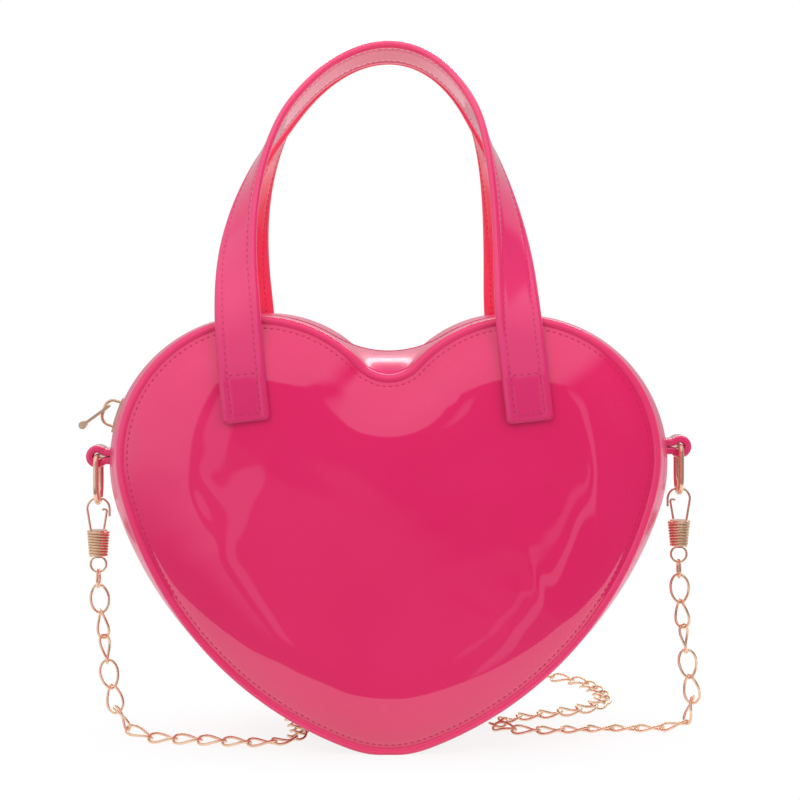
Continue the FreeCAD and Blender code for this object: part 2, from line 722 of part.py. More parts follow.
def make_gate():
    """The springy wire that closes the hook, with a rounded foot and a small curl at its top."""
    heel, top = clasp_place(gate_foot_x, gate_foot_z), clasp_place(gate_x, gate_top_z)
    shaft = Part.LineSegment(heel, top).toShape()
    slope = (top - heel).normalize()
    inward = V(slope.z, 0, -slope.x)
    curl = arc_edge(top + inward * GATE_CURL_RADIUS, GATE_CURL_RADIUS, 180, GATE_CURL_END, inward, slope)
    return joined([tube([shaft, curl], CLASP_WIRE_RADIUS), Part.makeSphere(CLASP_WIRE_RADIUS, heel)])


def make_eye():
    """The round eye under the core, cut off at the core's foot."""
    centre = clasp_place(0, core_foot - EYE_RADIUS + CLASP_WIRE_RADIUS)
    below = Part.makeBox(2 * REACH, 2 * REACH, REACH, V(-REACH, -REACH, core_foot - REACH))
    return Part.makeTorus(EYE_RADIUS, CLASP_WIRE_RADIUS, centre, V(0, 1, 0)).common(below)


eye_low = core_foot - 2 * EYE_RADIUS + CLASP_WIRE_RADIUS
jump_z = eye_low + CLASP_WIRE_RADIUS + CLASP_PLAY + JUMP_WIRE_RADIUS - JUMP_RADIUS


def make_jump_ring():
    """The small ring between the eye and the chain."""
    return Part.makeTorus(JUMP_RADIUS, JUMP_WIRE_RADIUS, clasp_place(0, jump_z), V(1, 0, 0))


winding_climb = WINDING_TURNS * WINDING_PITCH
winding_start = core_foot + (CORE_HEIGHT - winding_climb) / 2


def winding_point(turns):
    """A point of the tapered helix and its direction, a number of turns from its foot."""
    height = winding_start - core_foot + turns * WINDING_PITCH
    widen = (CORE_TOP_RADIUS - CORE_FOOT_RADIUS) / CORE_HEIGHT
    radius = CORE_FOOT_RADIUS + widen * height + WINDING_WIRE_RADIUS + WINDING_PLAY
    angle = 2 * math.pi * turns
    across, aside = math.cos(angle), math.sin(angle)
    per_turn = 2 * math.pi * radius
    spread = widen * WINDING_PITCH
    along = V(spread * across - per_turn * aside, spread * aside + per_turn * across, WINDING_PITCH)
    return clasp_place(radius * across, core_foot + height) + V(0, radius * aside, 0), along.normalize()


def arc_from(start, along, end):
    """The arc that leaves start along a direction and reaches end."""
    chord = end - start
    side = chord.cross(along).cross(chord).normalize()
    half = chord.getAngle(along) / 2
    bulge = chord.Length / 2 * math.tan(half)
    return Part.Arc(start, (start + end) * 0.5 + side * bulge, end).toShape()


def biarc(start, along, end, leaving):
    """Two arcs that join two points with the given directions."""
    chord = end - start
    both = along + leaving
    spare = 2 * (1 - along.dot(leaving))
    lean_on = chord.dot(both)
    reach = (math.sqrt(lean_on ** 2 + spare * chord.dot(chord)) - lean_on) / spare
    meet = (start + end + (along - leaving) * reach) * 0.5
    second = arc_from(end, leaving * -1, meet)
    second.reverse()
    return [arc_from(start, along, meet), second]


def make_winding():
    """The wire wound on the core, as one unbroken tube with straight ends."""
    quarters = [winding_point(step / 4) for step in range(4 * WINDING_TURNS + 1)]
    edges = []
    for (start, along), (end, leaving) in zip(quarters, quarters[1:]):
        edges += biarc(start, along, end, leaving)
    tail = 2 * WINDING_WIRE_RADIUS
    first, first_along = quarters[0]
    last, last_along = quarters[-1]
    edges.insert(0, Part.LineSegment(first - first_along * tail, first).toShape())
    edges.append(Part.LineSegment(last, last + last_along * tail).toShape())
    checks = range(WINDING_CHECKS * WINDING_TURNS + 1)
    points = [winding_point(step / WINDING_CHECKS)[0] for step in checks]
    later = WINDING_CHECKS // 2
    least = min(a.distanceToPoint(b) for i, a in enumerate(points) for b in points[i + later:])
    print("winding: least gap", round(least - 2 * WINDING_WIRE_RADIUS, 3))
    return tube(edges, WINDING_WIRE_RADIUS)


clasp_pieces = {
    "clasp_hook": make_hook(), "clasp_core": make_core(), "clasp_gate": make_gate(),
    "clasp_eye": make_eye(), "jump_ring": make_jump_ring(), "clasp_winding": make_winding(),
}
for name, shape in clasp_pieces.items():
    node("right_" + name, shape)
    node("left_" + name, lowered_left(shape))


# Chain

def make_link():
    """One oval link at the origin, its length along X and flat in XY."""
    bend = LINK_WIDTH / 2 - LINK_WIRE_RADIUS
    half = (LINK_LENGTH - LINK_WIDTH) / 2
    pieces = []
    for end in (-1, 1):
        circle = Part.makeCircle(LINK_WIRE_RADIUS, V(end * half, -end * bend, 0), V(1, 0, 0))
        pieces.append(Part.Face(Part.Wire(circle)).revolve(V(end * half, 0, 0), V(0, 0, 1), 180))
        pieces.append(Part.makeCylinder(LINK_WIRE_RADIUS, 2 * half, V(-half, end * bend, 0), V(1, 0, 0)))
    return joined(pieces)


def coil_route():
    """Loops that spiral in on the floor, climb, and spiral out again on top."""
    points = []
    count = COIL_HALF_TURNS * COIL_POINTS // 2
    climb_start, climb_end = COIL_CLIMB_SHARES
    for step in range(2 * count + 1):
        inwards = min(step, 2 * count - step) / count
        radius = COIL_OUTER_RADIUS - (COIL_OUTER_RADIUS - COIL_INNER_RADIUS) * inwards
        turn = math.radians(COIL_START) + 2 * math.pi * step / COIL_POINTS
        climbed = smooth((step / count - climb_start) / (climb_end - climb_start))
        x = COIL_MIDDLE[0] + radius * math.cos(turn)
        y = COIL_MIDDLE[1] + radius * math.sin(turn)
        points.append((x, y, FLOOR_LINE + COIL_LAYER * climbed))
    return points


def chain_line():
    """The chain's smooth line as many close points, from the left jump ring to the right one."""
    grip = JUMP_RADIUS - JUMP_WIRE_RADIUS - LINK_PLAY / 2
    left_end = V(-tab_x, 0, jump_z - grip - TAB_STAGGER)
    right_end = V(tab_x, 0, jump_z - grip)
    poles = [left_end] + [V(*p) for p in LEFT_ROUTE + coil_route() + RIGHT_ROUTE] + [right_end]
    spans = len(poles) - 2
    curve = Part.BSplineCurve()
    curve.buildFromPolesMultsKnots(poles, [3] + [1] * (spans - 1) + [3], list(range(spans + 1)), False, 2)
    return curve.discretize(Number=LINE_POINTS * spans), curve.length()


def march(points, pitch):
    """Places a straight pitch apart, from the first of the points on, and where each is in the list."""
    places, spots = [points[0]], [0]
    for index, (before, after) in enumerate(zip(points, points[1:])):
        if after.distanceToPoint(places[-1]) >= pitch:
            near = before.distanceToPoint(places[-1])
            share = (pitch - near) / (after.distanceToPoint(places[-1]) - near)
            places.append(before + (after - before) * share)
            spots.append(index)
    return places, spots


def lying_places(points):
    """The ends of the lying links, at the pitch, a little under the most, that ends on the last point."""
    low, high = LINK_PITCH_MOST * LEAST_PITCH_SHARE, LINK_PITCH_MOST
    count = len(march(points, high)[0])
    for step in range(PITCH_HALVINGS):
        pitch = (low + high) / 2
        if len(march(points, pitch)[0]) > count:
            low = pitch
        else:
            high = pitch
    print("lying links", count, "pitch", round(low, 3))
    return march(points, low)[0]


def set_links(places, roll_of, level):
    """Links set end to end between places, each turned about its length by roll_of its number.

    The turn counts from the level, or from a side direction that is carried along from link to link.
    """
    link = make_link()
    aside = V(1, 0, 0)
    shapes = []
    for index, (start, end) in enumerate(zip(places, places[1:])):
        along = (end - start).normalize()
        if level:
            aside = V(0, 0, 1).cross(along)
        aside = (aside - along * aside.dot(along)).normalize()
        wide = FreeCAD.Rotation(along, roll_of(index)).multVec(aside)
        flat = along.cross(wide)
        middle = (start + end) * 0.5
        matrix = FreeCAD.Matrix(along.x, wide.x, flat.x, middle.x, along.y, wide.y, flat.y, middle.y,
                                along.z, wide.z, flat.z, middle.z, 0, 0, 0, 1)
        shape = link.copy()
        shape.Placement = FreeCAD.Placement(matrix)
        shapes.append(shape)
    return shapes


def in_coil(shape):
    """Whether a link lies in the coil."""
    middle = shape.BoundBox.Center
    return math.hypot(middle.x - COIL_MIDDLE[0], middle.y - COIL_MIDDLE[1]) < COIL_OUTER_RADIUS + LINK_WIDTH


def make_chain():
    """The links that hang from each clasp, and those that lie between them."""
    points, length = chain_line()
    print("chain: line", round(length, 1))
    drops = {}
    cuts = {}
    for side, line in (("left", points), ("right", points[::-1])):
        places, spots = march(line, LINK_PITCH_MOST)
        drops[side] = set_links(places[:DROP_LINKS + 1], lambda index: DROP_TURN[side] * index, False)
        foot = spots[DROP_LINKS]
        while line[foot].distanceToPoint(places[DROP_LINKS]) < LYING_SLACK:
            foot -= 1
        cuts[side] = foot
        print(side, "chain comes down at", places[DROP_LINKS])
    lying = points[cuts["left"]:len(points) - cuts["right"]]
    places = lying_places(lying)
    tilt = LYING_TILT
    links = set_links(places, lambda index: tilt if index % 2 else -tilt, True)
    first = min(i for i, shape in enumerate(links) if in_coil(shape))
    last = max(i for i, shape in enumerate(links) if in_coil(shape))
    return {
        "left_drop_chain": drops["left"], "left_floor_chain": links[:first],
        "chain_coil": links[first:last + 1], "right_floor_chain": links[last + 1:],
        "right_drop_chain": drops["right"],
    }


for name, shapes in make_chain().items():
    node(name, Part.makeCompound(shapes))

print("zip slider turns about", lobe_x, lobe_z, "from", slider_angle, "to", left_lobe[3])
print("pull turns about", bail_apex)
print("front handle turns about y", hinge_y, "z", hinge_z)
print("right ring turns about x", tab_x, "z", tab_z)
print("right clasp turns about z", ring_bow + RING_WIRE_RADIUS)
print("right gate turns about", clasp_place(gate_foot_x, gate_foot_z))
print("the left ring, clasp and gate are lower by", TAB_STAGGER)
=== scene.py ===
"""Looks of the heart shaped handbag, in metres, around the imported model.

X runs to the right, Y away from the viewer, Z up. The bag stands on its tip at z = 0.
"""
import json
import math

import bpy
import numpy as np
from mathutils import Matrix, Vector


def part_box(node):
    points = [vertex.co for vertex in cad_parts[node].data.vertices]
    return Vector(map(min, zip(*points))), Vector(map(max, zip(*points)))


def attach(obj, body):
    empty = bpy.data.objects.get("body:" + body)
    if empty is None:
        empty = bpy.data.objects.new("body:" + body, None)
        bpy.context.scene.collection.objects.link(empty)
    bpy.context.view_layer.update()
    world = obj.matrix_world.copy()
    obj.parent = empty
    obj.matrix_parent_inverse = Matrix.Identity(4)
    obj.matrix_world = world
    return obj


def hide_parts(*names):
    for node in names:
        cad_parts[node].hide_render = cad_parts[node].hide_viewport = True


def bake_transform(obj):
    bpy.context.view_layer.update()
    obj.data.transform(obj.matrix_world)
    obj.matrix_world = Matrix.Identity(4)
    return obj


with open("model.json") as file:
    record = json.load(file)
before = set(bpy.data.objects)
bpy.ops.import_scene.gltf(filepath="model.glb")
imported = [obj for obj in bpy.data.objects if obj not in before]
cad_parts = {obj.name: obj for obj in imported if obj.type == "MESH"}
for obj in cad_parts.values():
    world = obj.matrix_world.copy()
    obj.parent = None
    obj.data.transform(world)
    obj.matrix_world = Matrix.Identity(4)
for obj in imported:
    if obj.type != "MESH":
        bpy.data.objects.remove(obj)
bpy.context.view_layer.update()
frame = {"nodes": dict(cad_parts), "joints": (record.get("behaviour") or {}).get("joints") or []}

# Heart outlines of the rims, and of the gusset's crest halfway between them. The dip is the height of the
# centre of the arc between the lobes
RIM = {
    "half_width": 0.0933, "lobe_radius": 0.0485, "lobe_top": 0.150, "dip": 0.1417,
    "side_radius": 0.125, "tip_radius": 0.040, "bottom": -0.0005,
}
CREST = {
    "half_width": 0.0993, "lobe_radius": 0.0526, "lobe_top": 0.150, "dip": 0.1748,
    "side_radius": 0.125, "tip_radius": 0.042, "bottom": -0.0005,
}
RIM_HALF_DEPTH = 0.035
BEAD_RADIUS = 0.0017
BEAD_SIDES = 20
GUSSET_WALL = 0.0012
GUSSET_HALF_DEPTH = RIM_HALF_DEPTH - BEAD_RADIUS
GUSSET_TURNS = 400              # points along the lower gusset
GUSSET_ROWS = 41                # points across it

# Panels
FLANGE_FRONT = 0.0362           # the skin's padding lies a little in front of the panel itself
PANEL_EDGE = 0.0022             # from the rim, under the bead
DOME_EDGE = 0.0027
DOME_RUN = 0.030
DOME_HEIGHT = 0.00905
DOME_POWER = 2.6
FOLD_SETTLE = DOME_RUN / 3      # over which the folds fade towards the rim
SEAM_INSET = 0.0041             # of the stitches from the rim
SEAM_DEPTH = 0.00015
SEAM_WIDTH = 0.0006
RIPPLE = 0.00005
RIPPLE_RATES = (210.0, 130.0, 170.0)     # radians per metre
PANEL_MIDDLE = np.array([0.0, 0.055])
PANEL_RINGS = 44                # on the dome
RING_POWER = 1.4                # crowds those rings towards the rim
MIDDLE_RINGS = 26               # inside the dome
MIDDLE_GAP_SHARE = 0.5          # of a ring, left to the fan in the middle
TURNS = 540                     # points round the heart

# Stitches
STITCH_PITCH = 0.0022
STITCH_LENGTH = 0.0015
STITCH_RADIUS = 0.00018
PROUD_SHARE = 0.2               # of the radius that a stitch's middle stands above its seam
SUNK_SHARE = -0.7               # the same, for the sunk seams of the zip strips
STITCH_RINGS = 7
STITCH_SIDES = 6
STITCH_POWER = 5                # of its blunt ends
STITCH_DIP_SHARE = 1.3          # of the radius that its ends dip

# Strap handles
STRAP_WIDTH = 0.016
STRAP_WALL = 0.0026
STRAP_EDGE_WALL = 0.0031
STRAP_SEAM_INSET = 0.0030
STRAP_CORNER = 0.0014
STRAP_END_LENGTH = 0.0178
STRAP_LEG_X = 0.0477
STRAP_PLAY = 0.00015
HINGE_DROP = 0.0177             # of the hinge below the lobes' tops
HINGE_Z = RIM["lobe_top"] - HINGE_DROP
HANDLE_STRAIGHT = 0.030
HANDLE_ARCH_RISE = 0.087
HANDLE_SWAY = 0.0048            # to the left, halfway up the straps
HANDLE_GAP = 0.0003
TWIST_START = 0.012
TWIST_LENGTH = 0.080
BOX_SEAM_DROP = 0.0018          # of the cross seam below the hinge
END_SEAM_RISE = 0.0028          # of the lowest seam above the strap's end
STRAP_EDGE_POWER = 7            # of its rounded edges
STRAP_TIP_SHARE = 0.8           # how far its wall rounds off at its ends
STRAP_STEPS = (60, 90, 210)     # along the sewn end, the straight and half the arch
STRAP_PROFILE_POINTS = 45       # across each face
STRAP_SOFTENING = 8             # steps
TWIST_SOFTENING = 10            # steps
CROSS_SEAM_POINTS = 12

# Zip
ZIP_END_RISE = 0.0061
STRIP_HALF_GAP = 0.005
STRIP_SEAM_INSET = 0.0019
TAPE_HALF_GAP = 0.002
TAPE_HALF_WIDTH = 0.008
TAPE_WALL = 0.0007
TAPE_DEPTH = 0.00165
ZIP_TURNS = 320                 # points along the zip
ZIP_SEARCH = 20000              # points round the crest, to find the zip's ends
STRIP_ROWS = 25
TAPE_ROWS = 5

# Tabs
TAB_WIDTH = 0.009
TAB_WALL = 0.0029
TAB_LOOP_RADIUS = 0.00275
TAB_SINK = 0.008
TAB_FILL_SHARE = 0.96           # of a layer's thickness, so that the two layers show apart
TAB_STEPS = 24                  # along each straight layer
TAB_SIDES = 28
TAB_LOOP_STEPS = 60
TAB_SOFTENING = 3               # steps
TAB_WIDE_POWER = 0.3            # squares its section
TAB_HIGH_POWER = 0.5

# Clasp windings
WINDING_TURNS = 9
WINDING_PITCH = 0.001
WINDING_WIRE_RADIUS = 0.00046
WINDING_PLAY = 0.00005
WINDING_SIDES = 10
WINDING_STEPS = 28              # of each turn
WINDING_TAPER = 0.025           # turns over which the wire's ends narrow
WINDING_TIP_SHARE = 0.14

# Chain
JUMP_WIRE_RADIUS = 0.00045
LINK_LENGTH = 0.01114
LINK_WIDTH = 0.0074
LINK_WIRE_RADIUS = 0.00048
LINK_PLAY = 0.0002
LINK_PITCH_MOST = LINK_LENGTH - 4 * LINK_WIRE_RADIUS - LINK_PLAY
LINK_TWIST = -28.0              # degrees, from a link's middle to its end
LINK_POWER = 0.92               # draws an oval's ends out a little
LINK_STEPS = 44
LINK_SIDES = 9
DROP_LINKS = 5                  # hanging from each clasp
DROP_TURN = {"left": 52.0, "right": 56.0}     # degrees from one hanging link to the next
LYING_ROLL = 8.0                # degrees, the most that a lying link tilts
LYING_ROLL_RATE = 0.55          # radians from link to link
FIRST_ROLL = -48.0              # degrees, of the lying link that the left drop comes down to
LYING_SLACK = 0.0011            # room in the link where the chain comes down
LEAST_PITCH_SHARE = 0.97
PITCH_HALVINGS = 30
LINE_POINTS = 40                # of each span of the chain's line
FLOOR_LINE = 0.0014             # height of a lying chain's middle line
COIL_MIDDLE = (0.0, 0.116)
COIL_START = -60.0              # degrees from +X round to +Y
COIL_OUTER_RADIUS = 0.045
COIL_INNER_RADIUS = 0.0314
COIL_LAYER = 0.0036
COIL_HALF_TURNS = 3             # in each of its two layers
COIL_POINTS = 12                # of a whole turn
COIL_CLIMB_SHARES = (0.75, 1.25)
LEFT_ROUTE = [
    (-0.1025, -0.001, 0.038), (-0.100, -0.004, 0.022), (-0.096, -0.010, 0.007), (-0.088, -0.015, FLOOR_LINE),
    (-0.075, -0.017, FLOOR_LINE), (-0.060, -0.020, FLOOR_LINE), (-0.046, -0.024, FLOOR_LINE),
    (-0.033, -0.020, FLOOR_LINE), (-0.031, -0.004, FLOOR_LINE), (-0.035, 0.014, FLOOR_LINE),
    (-0.036, 0.034, FLOOR_LINE), (-0.030, 0.054, FLOOR_LINE), (-0.008, 0.068, FLOOR_LINE),
]
RIGHT_ROUTE = [
    (0.053, 0.096, FLOOR_LINE + COIL_LAYER / 2), (0.066, 0.097, FLOOR_LINE),
    (0.077, 0.088, FLOOR_LINE), (0.081, 0.072, FLOOR_LINE),
    (0.084, 0.054, FLOOR_LINE), (0.078, 0.037, FLOOR_LINE), (0.062, 0.026, FLOOR_LINE),
    (0.045, 0.018, FLOOR_LINE), (0.036, 0.0065, FLOOR_LINE), (0.046, -0.005, FLOOR_LINE),
    (0.064, -0.002, FLOOR_LINE), (0.082, 0.001, FLOOR_LINE), (0.099, -0.001, FLOOR_LINE),
    (0.110, -0.002, 0.0045), (0.108, -0.0015, 0.020), (0.1055, 0.0, 0.038),
]

# Camera and stage
PICTURE_WIDTH = 0.2736          # that the picture takes in at the front rim
CAMERA_DISTANCE = 0.700         # from the front rim
CAMERA_HEIGHT = 0.160
PICTURE_MIDDLE = (0.0039, 0.1212)
FLOOR_FRONT = -0.078            # the tip of the floor's half round front
FLOOR_HALF_WIDTH = 0.24
FLOOR_BACK = 1.6
FLOOR_BACK_HALF_WIDTH = 1.2
FLOOR_FRONT_POINTS = 41
SHADOW_NARROWING = (0.55, 1.0, 1.0)
SHADOW_REACH = (0.035, 0.076)   # between which the floor goes over to plain white
SHADOW_WHITE = 0.86             # share of plain white in the shadow

# Heights of the finest relief, and patches, waves or strands per metre
SKIN_WAVE = 0.0004
THREAD_TWIST = 0.0002
METAL_DENT = 0.0002
TWILL_RIB = 0.0002
VINYL_CLOUDS = 22.0
VINYL_SMEARS = 60.0
SKIN_WAVES = 75.0
THREAD_STRANDS = 2600.0
METAL_PATCHES = 160.0
METAL_DENTS = 900.0
TWILL_RIBS = 900.0
FLOOR_CLOUDS = 9.0

WHITE = (1, 1, 1, 1)
BLACK = (0, 0, 0, 1)

# Painted light and shade on the front strap: heights between which its colour goes from a deeper end colour,
# painted shade where no light is taken to come through from behind, to its own, and those over which its
# crown goes to a paler colour, painted light where most comes through
PAINTED_BACKLIGHT_HEIGHTS = (0.138, 0.162)
PAINTED_CROWN_GLOW_HEIGHTS = (0.19, 0.235)
SHADED_END_COAT = 0.45                 # coat weight where none comes through: a duller coat that paints the sewn ends' sheen darker


# Materials

class Socket:
    """A node's output. Sums and products of sockets and numbers add the nodes that work them out."""

    def __init__(self, tree, out):
        self.tree = tree
        self.out = out

    def node(self, kind, inputs, output=0, **settings):
        """Adds a node with its settings, links or sets its inputs, and gives one of its outputs."""
        made = self.tree.nodes.new(kind)
        for key, value in settings.items():
            setattr(made, key, value)
        for key, value in inputs.items():
            if isinstance(value, Socket):
                self.tree.links.new(value.out, made.inputs[key])
            else:
                made.inputs[key].default_value = value
        return Socket(self.tree, made.outputs[output])

    def math(self, operation, first, second=0.0):
        """A Math node on two values."""
        return self.node("ShaderNodeMath", {0: first, 1: second}, operation=operation)

    def __add__(self, other):
        return self.math("ADD", self, other)

    def __radd__(self, other):
        return self.math("ADD", other, self)

    def __sub__(self, other):
        return self.math("SUBTRACT", self, other)

    def __rsub__(self, other):
        return self.math("SUBTRACT", other, self)

    def __mul__(self, other):
        return self.math("MULTIPLY", self, other)

    def __rmul__(self, other):
        return self.math("MULTIPLY", other, self)

    def step(self, low, high):
        """Eases from 0 at low to 1 at high."""
        return self.node("ShaderNodeMapRange", {0: self, 1: low, 2: high}, interpolation_type="SMOOTHSTEP")

    def mixed(self, first, second):
        """The colour first where this is 0, and second where it is 1."""
        return self.node("ShaderNodeMix", {0: self, 6: first, 7: second}, output=2, data_type="RGBA")

    def noise(self, scale, detail=2.0):
        """Cloudy noise at this place, in patches of about one over scale."""
        return self.node("ShaderNodeTexNoise", {"Vector": self, "Scale": scale, "Detail": detail})

    def ray(self, kind):
        """1 where the ray that looks is of a kind."""
        return self.node("ShaderNodeLightPath", {}, output=kind)

    def bump(self, strength, distance):
        """A bumpy normal with this as its height."""
        return self.node("ShaderNodeBump", {"Height": self, "Strength": strength, "Distance": distance})


def new_material(name):
    """An empty material, the place in the piece's own space, and its surface node."""
    material = bpy.data.materials.new(name)
    material.use_nodes = True
    tree = material.node_tree
    surface = tree.nodes["Principled BSDF"]
    place = Socket(tree, tree.nodes.new("ShaderNodeTexCoord").outputs["Object"])
    return material, place, surface


def wire_up(surface, sockets, constants):
    """Links sockets to a surface node's inputs and sets its constant ones."""
    for key, value in sockets.items():
        value.tree.links.new(value.out, surface.inputs[key])
    for key, value in constants.items():
        surface.inputs[key].default_value = value


def by_height(place, heights):
    """Eases from 0 at the lower of two heights to 1 at the upper."""
    return place.node("ShaderNodeSeparateXYZ", {0: place}, output=2).step(*heights)


def vinyl(name, deep, pale, coat, end=None, painted_crown_light=None):
    """Coated vinyl: clouded colour, a clear coat, faint smears, and the slight waviness of a moulded skin.

    A strap's has painted light and shade by height: an end colour and a duller coat, painted shade where it
    lies on the panel and no light is taken to come through from behind, and a paler crown colour, painted
    light where most does."""
    material, place, surface = new_material(name)
    cloud = place.noise(VINYL_CLOUDS, 3.0).step(0.3, 0.75)
    smear = place.noise(VINYL_SMEARS, 4.0)
    skin = place.noise(SKIN_WAVES, 0.0)
    sockets = {
        "Base Color": cloud.mixed(deep, pale),
        "Roughness": smear * 0.12 + 0.24,
        "Normal": skin.bump(0.06, SKIN_WAVE),
    }
    if end:
        # Painted light and shade: deeper and duller at the sewn ends, paler at the crown, by height alone
        lit = by_height(place, PAINTED_BACKLIGHT_HEIGHTS)
        colour = lit.mixed(end, sockets["Base Color"])
        sockets["Base Color"] = by_height(place, PAINTED_CROWN_GLOW_HEIGHTS).mixed(colour, painted_crown_light)
        sockets["Coat Weight"] = lit * (coat - SHADED_END_COAT) + SHADED_END_COAT
    wire_up(surface, sockets, {"Coat Weight": coat, "Coat Roughness": 0.02, "Coat IOR": 1.65,
                               "Specular IOR Level": 0.22})
    return material


def thread(name, colour, dark, coat, end=None, painted_crown_light=None):
    """Twisted sewing thread. With an end and a crown colour it goes over to those as its strap does: painted
    shade at the ends, painted light at the crown.
    """
    material, place, surface = new_material(name)
    strand = place.noise(THREAD_STRANDS, 1.0)
    tone = strand.step(0.3, 0.7).mixed(dark, colour)
    if end:
        # Painted shade at the sewn ends and painted light at the crown, by height as on the strap
        tone = by_height(place, PAINTED_BACKLIGHT_HEIGHTS).mixed(end, tone)
        tone = by_height(place, PAINTED_CROWN_GLOW_HEIGHTS).mixed(tone, painted_crown_light)
    wire_up(surface, {"Base Color": tone, "Normal": strand.bump(0.5, THREAD_TWIST)},
            {"Roughness": 0.55, "Coat Weight": coat, "Coat Roughness": 0.1})
    return material


def metal(name, colour, tarnish, roughness):
    """Polished plated wire with faint dull patches."""
    material, place, surface = new_material(name)
    patch = place.noise(METAL_PATCHES, 3.0).step(0.35, 0.8)
    wire_up(surface, {
        "Base Color": patch.mixed(colour, tarnish),
        "Roughness": patch * 0.12 + roughness,
        "Normal": place.noise(METAL_DENTS, 0.0).bump(0.02, METAL_DENT),
    }, {"Metallic": 0.75})
    return material


def woven(name, colour, dark):
    """Zip tape in a fine twill."""
    material, place, surface = new_material(name)
    ribs = {"Vector": place, "Scale": TWILL_RIBS, "Distortion": 0.6}
    wave = place.node("ShaderNodeTexWave", ribs, output=1, bands_direction="DIAGONAL")
    wire_up(surface, {
        "Base Color": wave.mixed(dark, colour),
        "Normal": wave.bump(0.6, TWILL_RIB),
    }, {"Roughness": 0.8})
    return material


PINK = vinyl("pink_vinyl", (0.71, 0.010, 0.112, 1), (0.73, 0.013, 0.122, 1), 1.0)
GUSSET_PINK = vinyl("pink_gusset", (0.72, 0.030, 0.150, 1), (0.75, 0.040, 0.165, 1), 0.18)
BEAD_PINK = vinyl("pink_bead", (0.75, 0.030, 0.138, 1), (0.78, 0.038, 0.155, 1), 0.5)
STRAP_PINK = vinyl("pink_strap", (0.75, 0.026, 0.145, 1), (0.78, 0.033, 0.160, 1), 1.0)
# The front strap's deeper end colour is painted shade and its paler crown colour painted light
FRONT_PINK = vinyl("front_strap", (0.75, 0.026, 0.145, 1), (0.78, 0.033, 0.160, 1), 1.0,
                   (0.635, 0.024, 0.134, 1), (0.87, 0.062, 0.178, 1))
# Painted light: the rear strap is a brighter, redder copy of the strap vinyl, standing in for light taken to
# come through it from behind; its coat is weaker so that it mirrors less
BACKLIT_REAR_PINK = vinyl("rear_strap", (0.94, 0.055, 0.126, 1), (0.97, 0.065, 0.138, 1), 0.35)
THREAD = thread("pink_thread", (0.62, 0.014, 0.098, 1), (0.52, 0.010, 0.078, 1), 0.0)
STRAP_THREAD = thread("strap_thread", (0.74, 0.028, 0.145, 1), (0.66, 0.018, 0.115, 1), 1.0)
# The front thread's deeper end colour is painted shade and its paler crown colour painted light
FRONT_THREAD = thread("front_thread", (0.74, 0.028, 0.145, 1), (0.66, 0.018, 0.115, 1), 1.0,
                      (0.52, 0.015, 0.098, 1), (0.90, 0.26, 0.38, 1))
GOLD = metal("rose_gold", (0.93, 0.66, 0.44, 1), (0.84, 0.52, 0.33, 1), 0.14)
ZIP_GOLD = metal("zip_gold", (0.80, 0.58, 0.32, 1), (0.58, 0.38, 0.20, 1), 0.22)
TAPE = woven("zip_tape", (0.55, 0.02, 0.10, 1), (0.36, 0.01, 0.06, 1))


# Meshes

def unit(vectors):
    """The same directions with length 1."""
    return vectors / np.linalg.norm(vectors, axis=-1, keepdims=True)


def smooth(share):
    """Eases from 0 to 1: 3 s^2 - 2 s^3."""
    share = np.clip(share, 0, 1)
    return share * share * (3 - 2 * share)


def grid_faces(rows, columns, closed_rows=False, closed_columns=False):
    """The quads of a grid whose point (i, j) has the number i * columns + j."""
    i = np.arange(rows if closed_rows else rows - 1)
    j = np.arange(columns if closed_columns else columns - 1)
    i, j = np.meshgrid(i, j, indexing="ij")
    i_next, j_next = (i + 1) % rows, (j + 1) % columns
    corners = [i * columns + j, i * columns + j_next, i_next * columns + j_next, i_next * columns + j]
    return np.stack(corners, -1).reshape(-1, 4)


def new_piece(name, points, faces, material, body, replaced=()):
    """A smooth mesh piece that rides on a body and stands for CAD nodes. faces is a list of face arrays."""
    mesh = bpy.data.meshes.new(name)
    every = [face for group in faces for face in group.tolist()]
    mesh.from_pydata(points.reshape(-1, 3).tolist(), [], every)
    mesh.polygons.foreach_set("use_smooth", np.ones(len(every), bool))
    mesh.materials.append(material)
    mesh.validate()
    piece = bpy.data.objects.new(name, mesh)
    bpy.context.scene.collection.objects.link(piece)
    if body:
        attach(piece, body)
    if replaced:
        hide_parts(*replaced)
    return piece


def mirrored(points):
    """The same points on the rear."""
    return points * np.array([1, -1, 1])


def sweep(line, across, thick, profile):
    """A grid of points: line + across * profile's first value + thick * its second."""
    return line[:, None] + across[:, None] * profile[..., 0, None] + thick[:, None] * profile[..., 1, None]


def tangents(line, closed=False):
    """The direction of a line at each of its points."""
    if closed:
        return unit(np.roll(line, -1, 0) - np.roll(line, 1, 0))
    return unit(np.gradient(line, axis=0))


def lengths_along(line):
    """How far along a line each of its points is."""
    steps = np.linalg.norm(np.diff(line, axis=0), axis=1)
    return np.concatenate([[0], np.cumsum(steps)])


# The heart, as tangent arcs

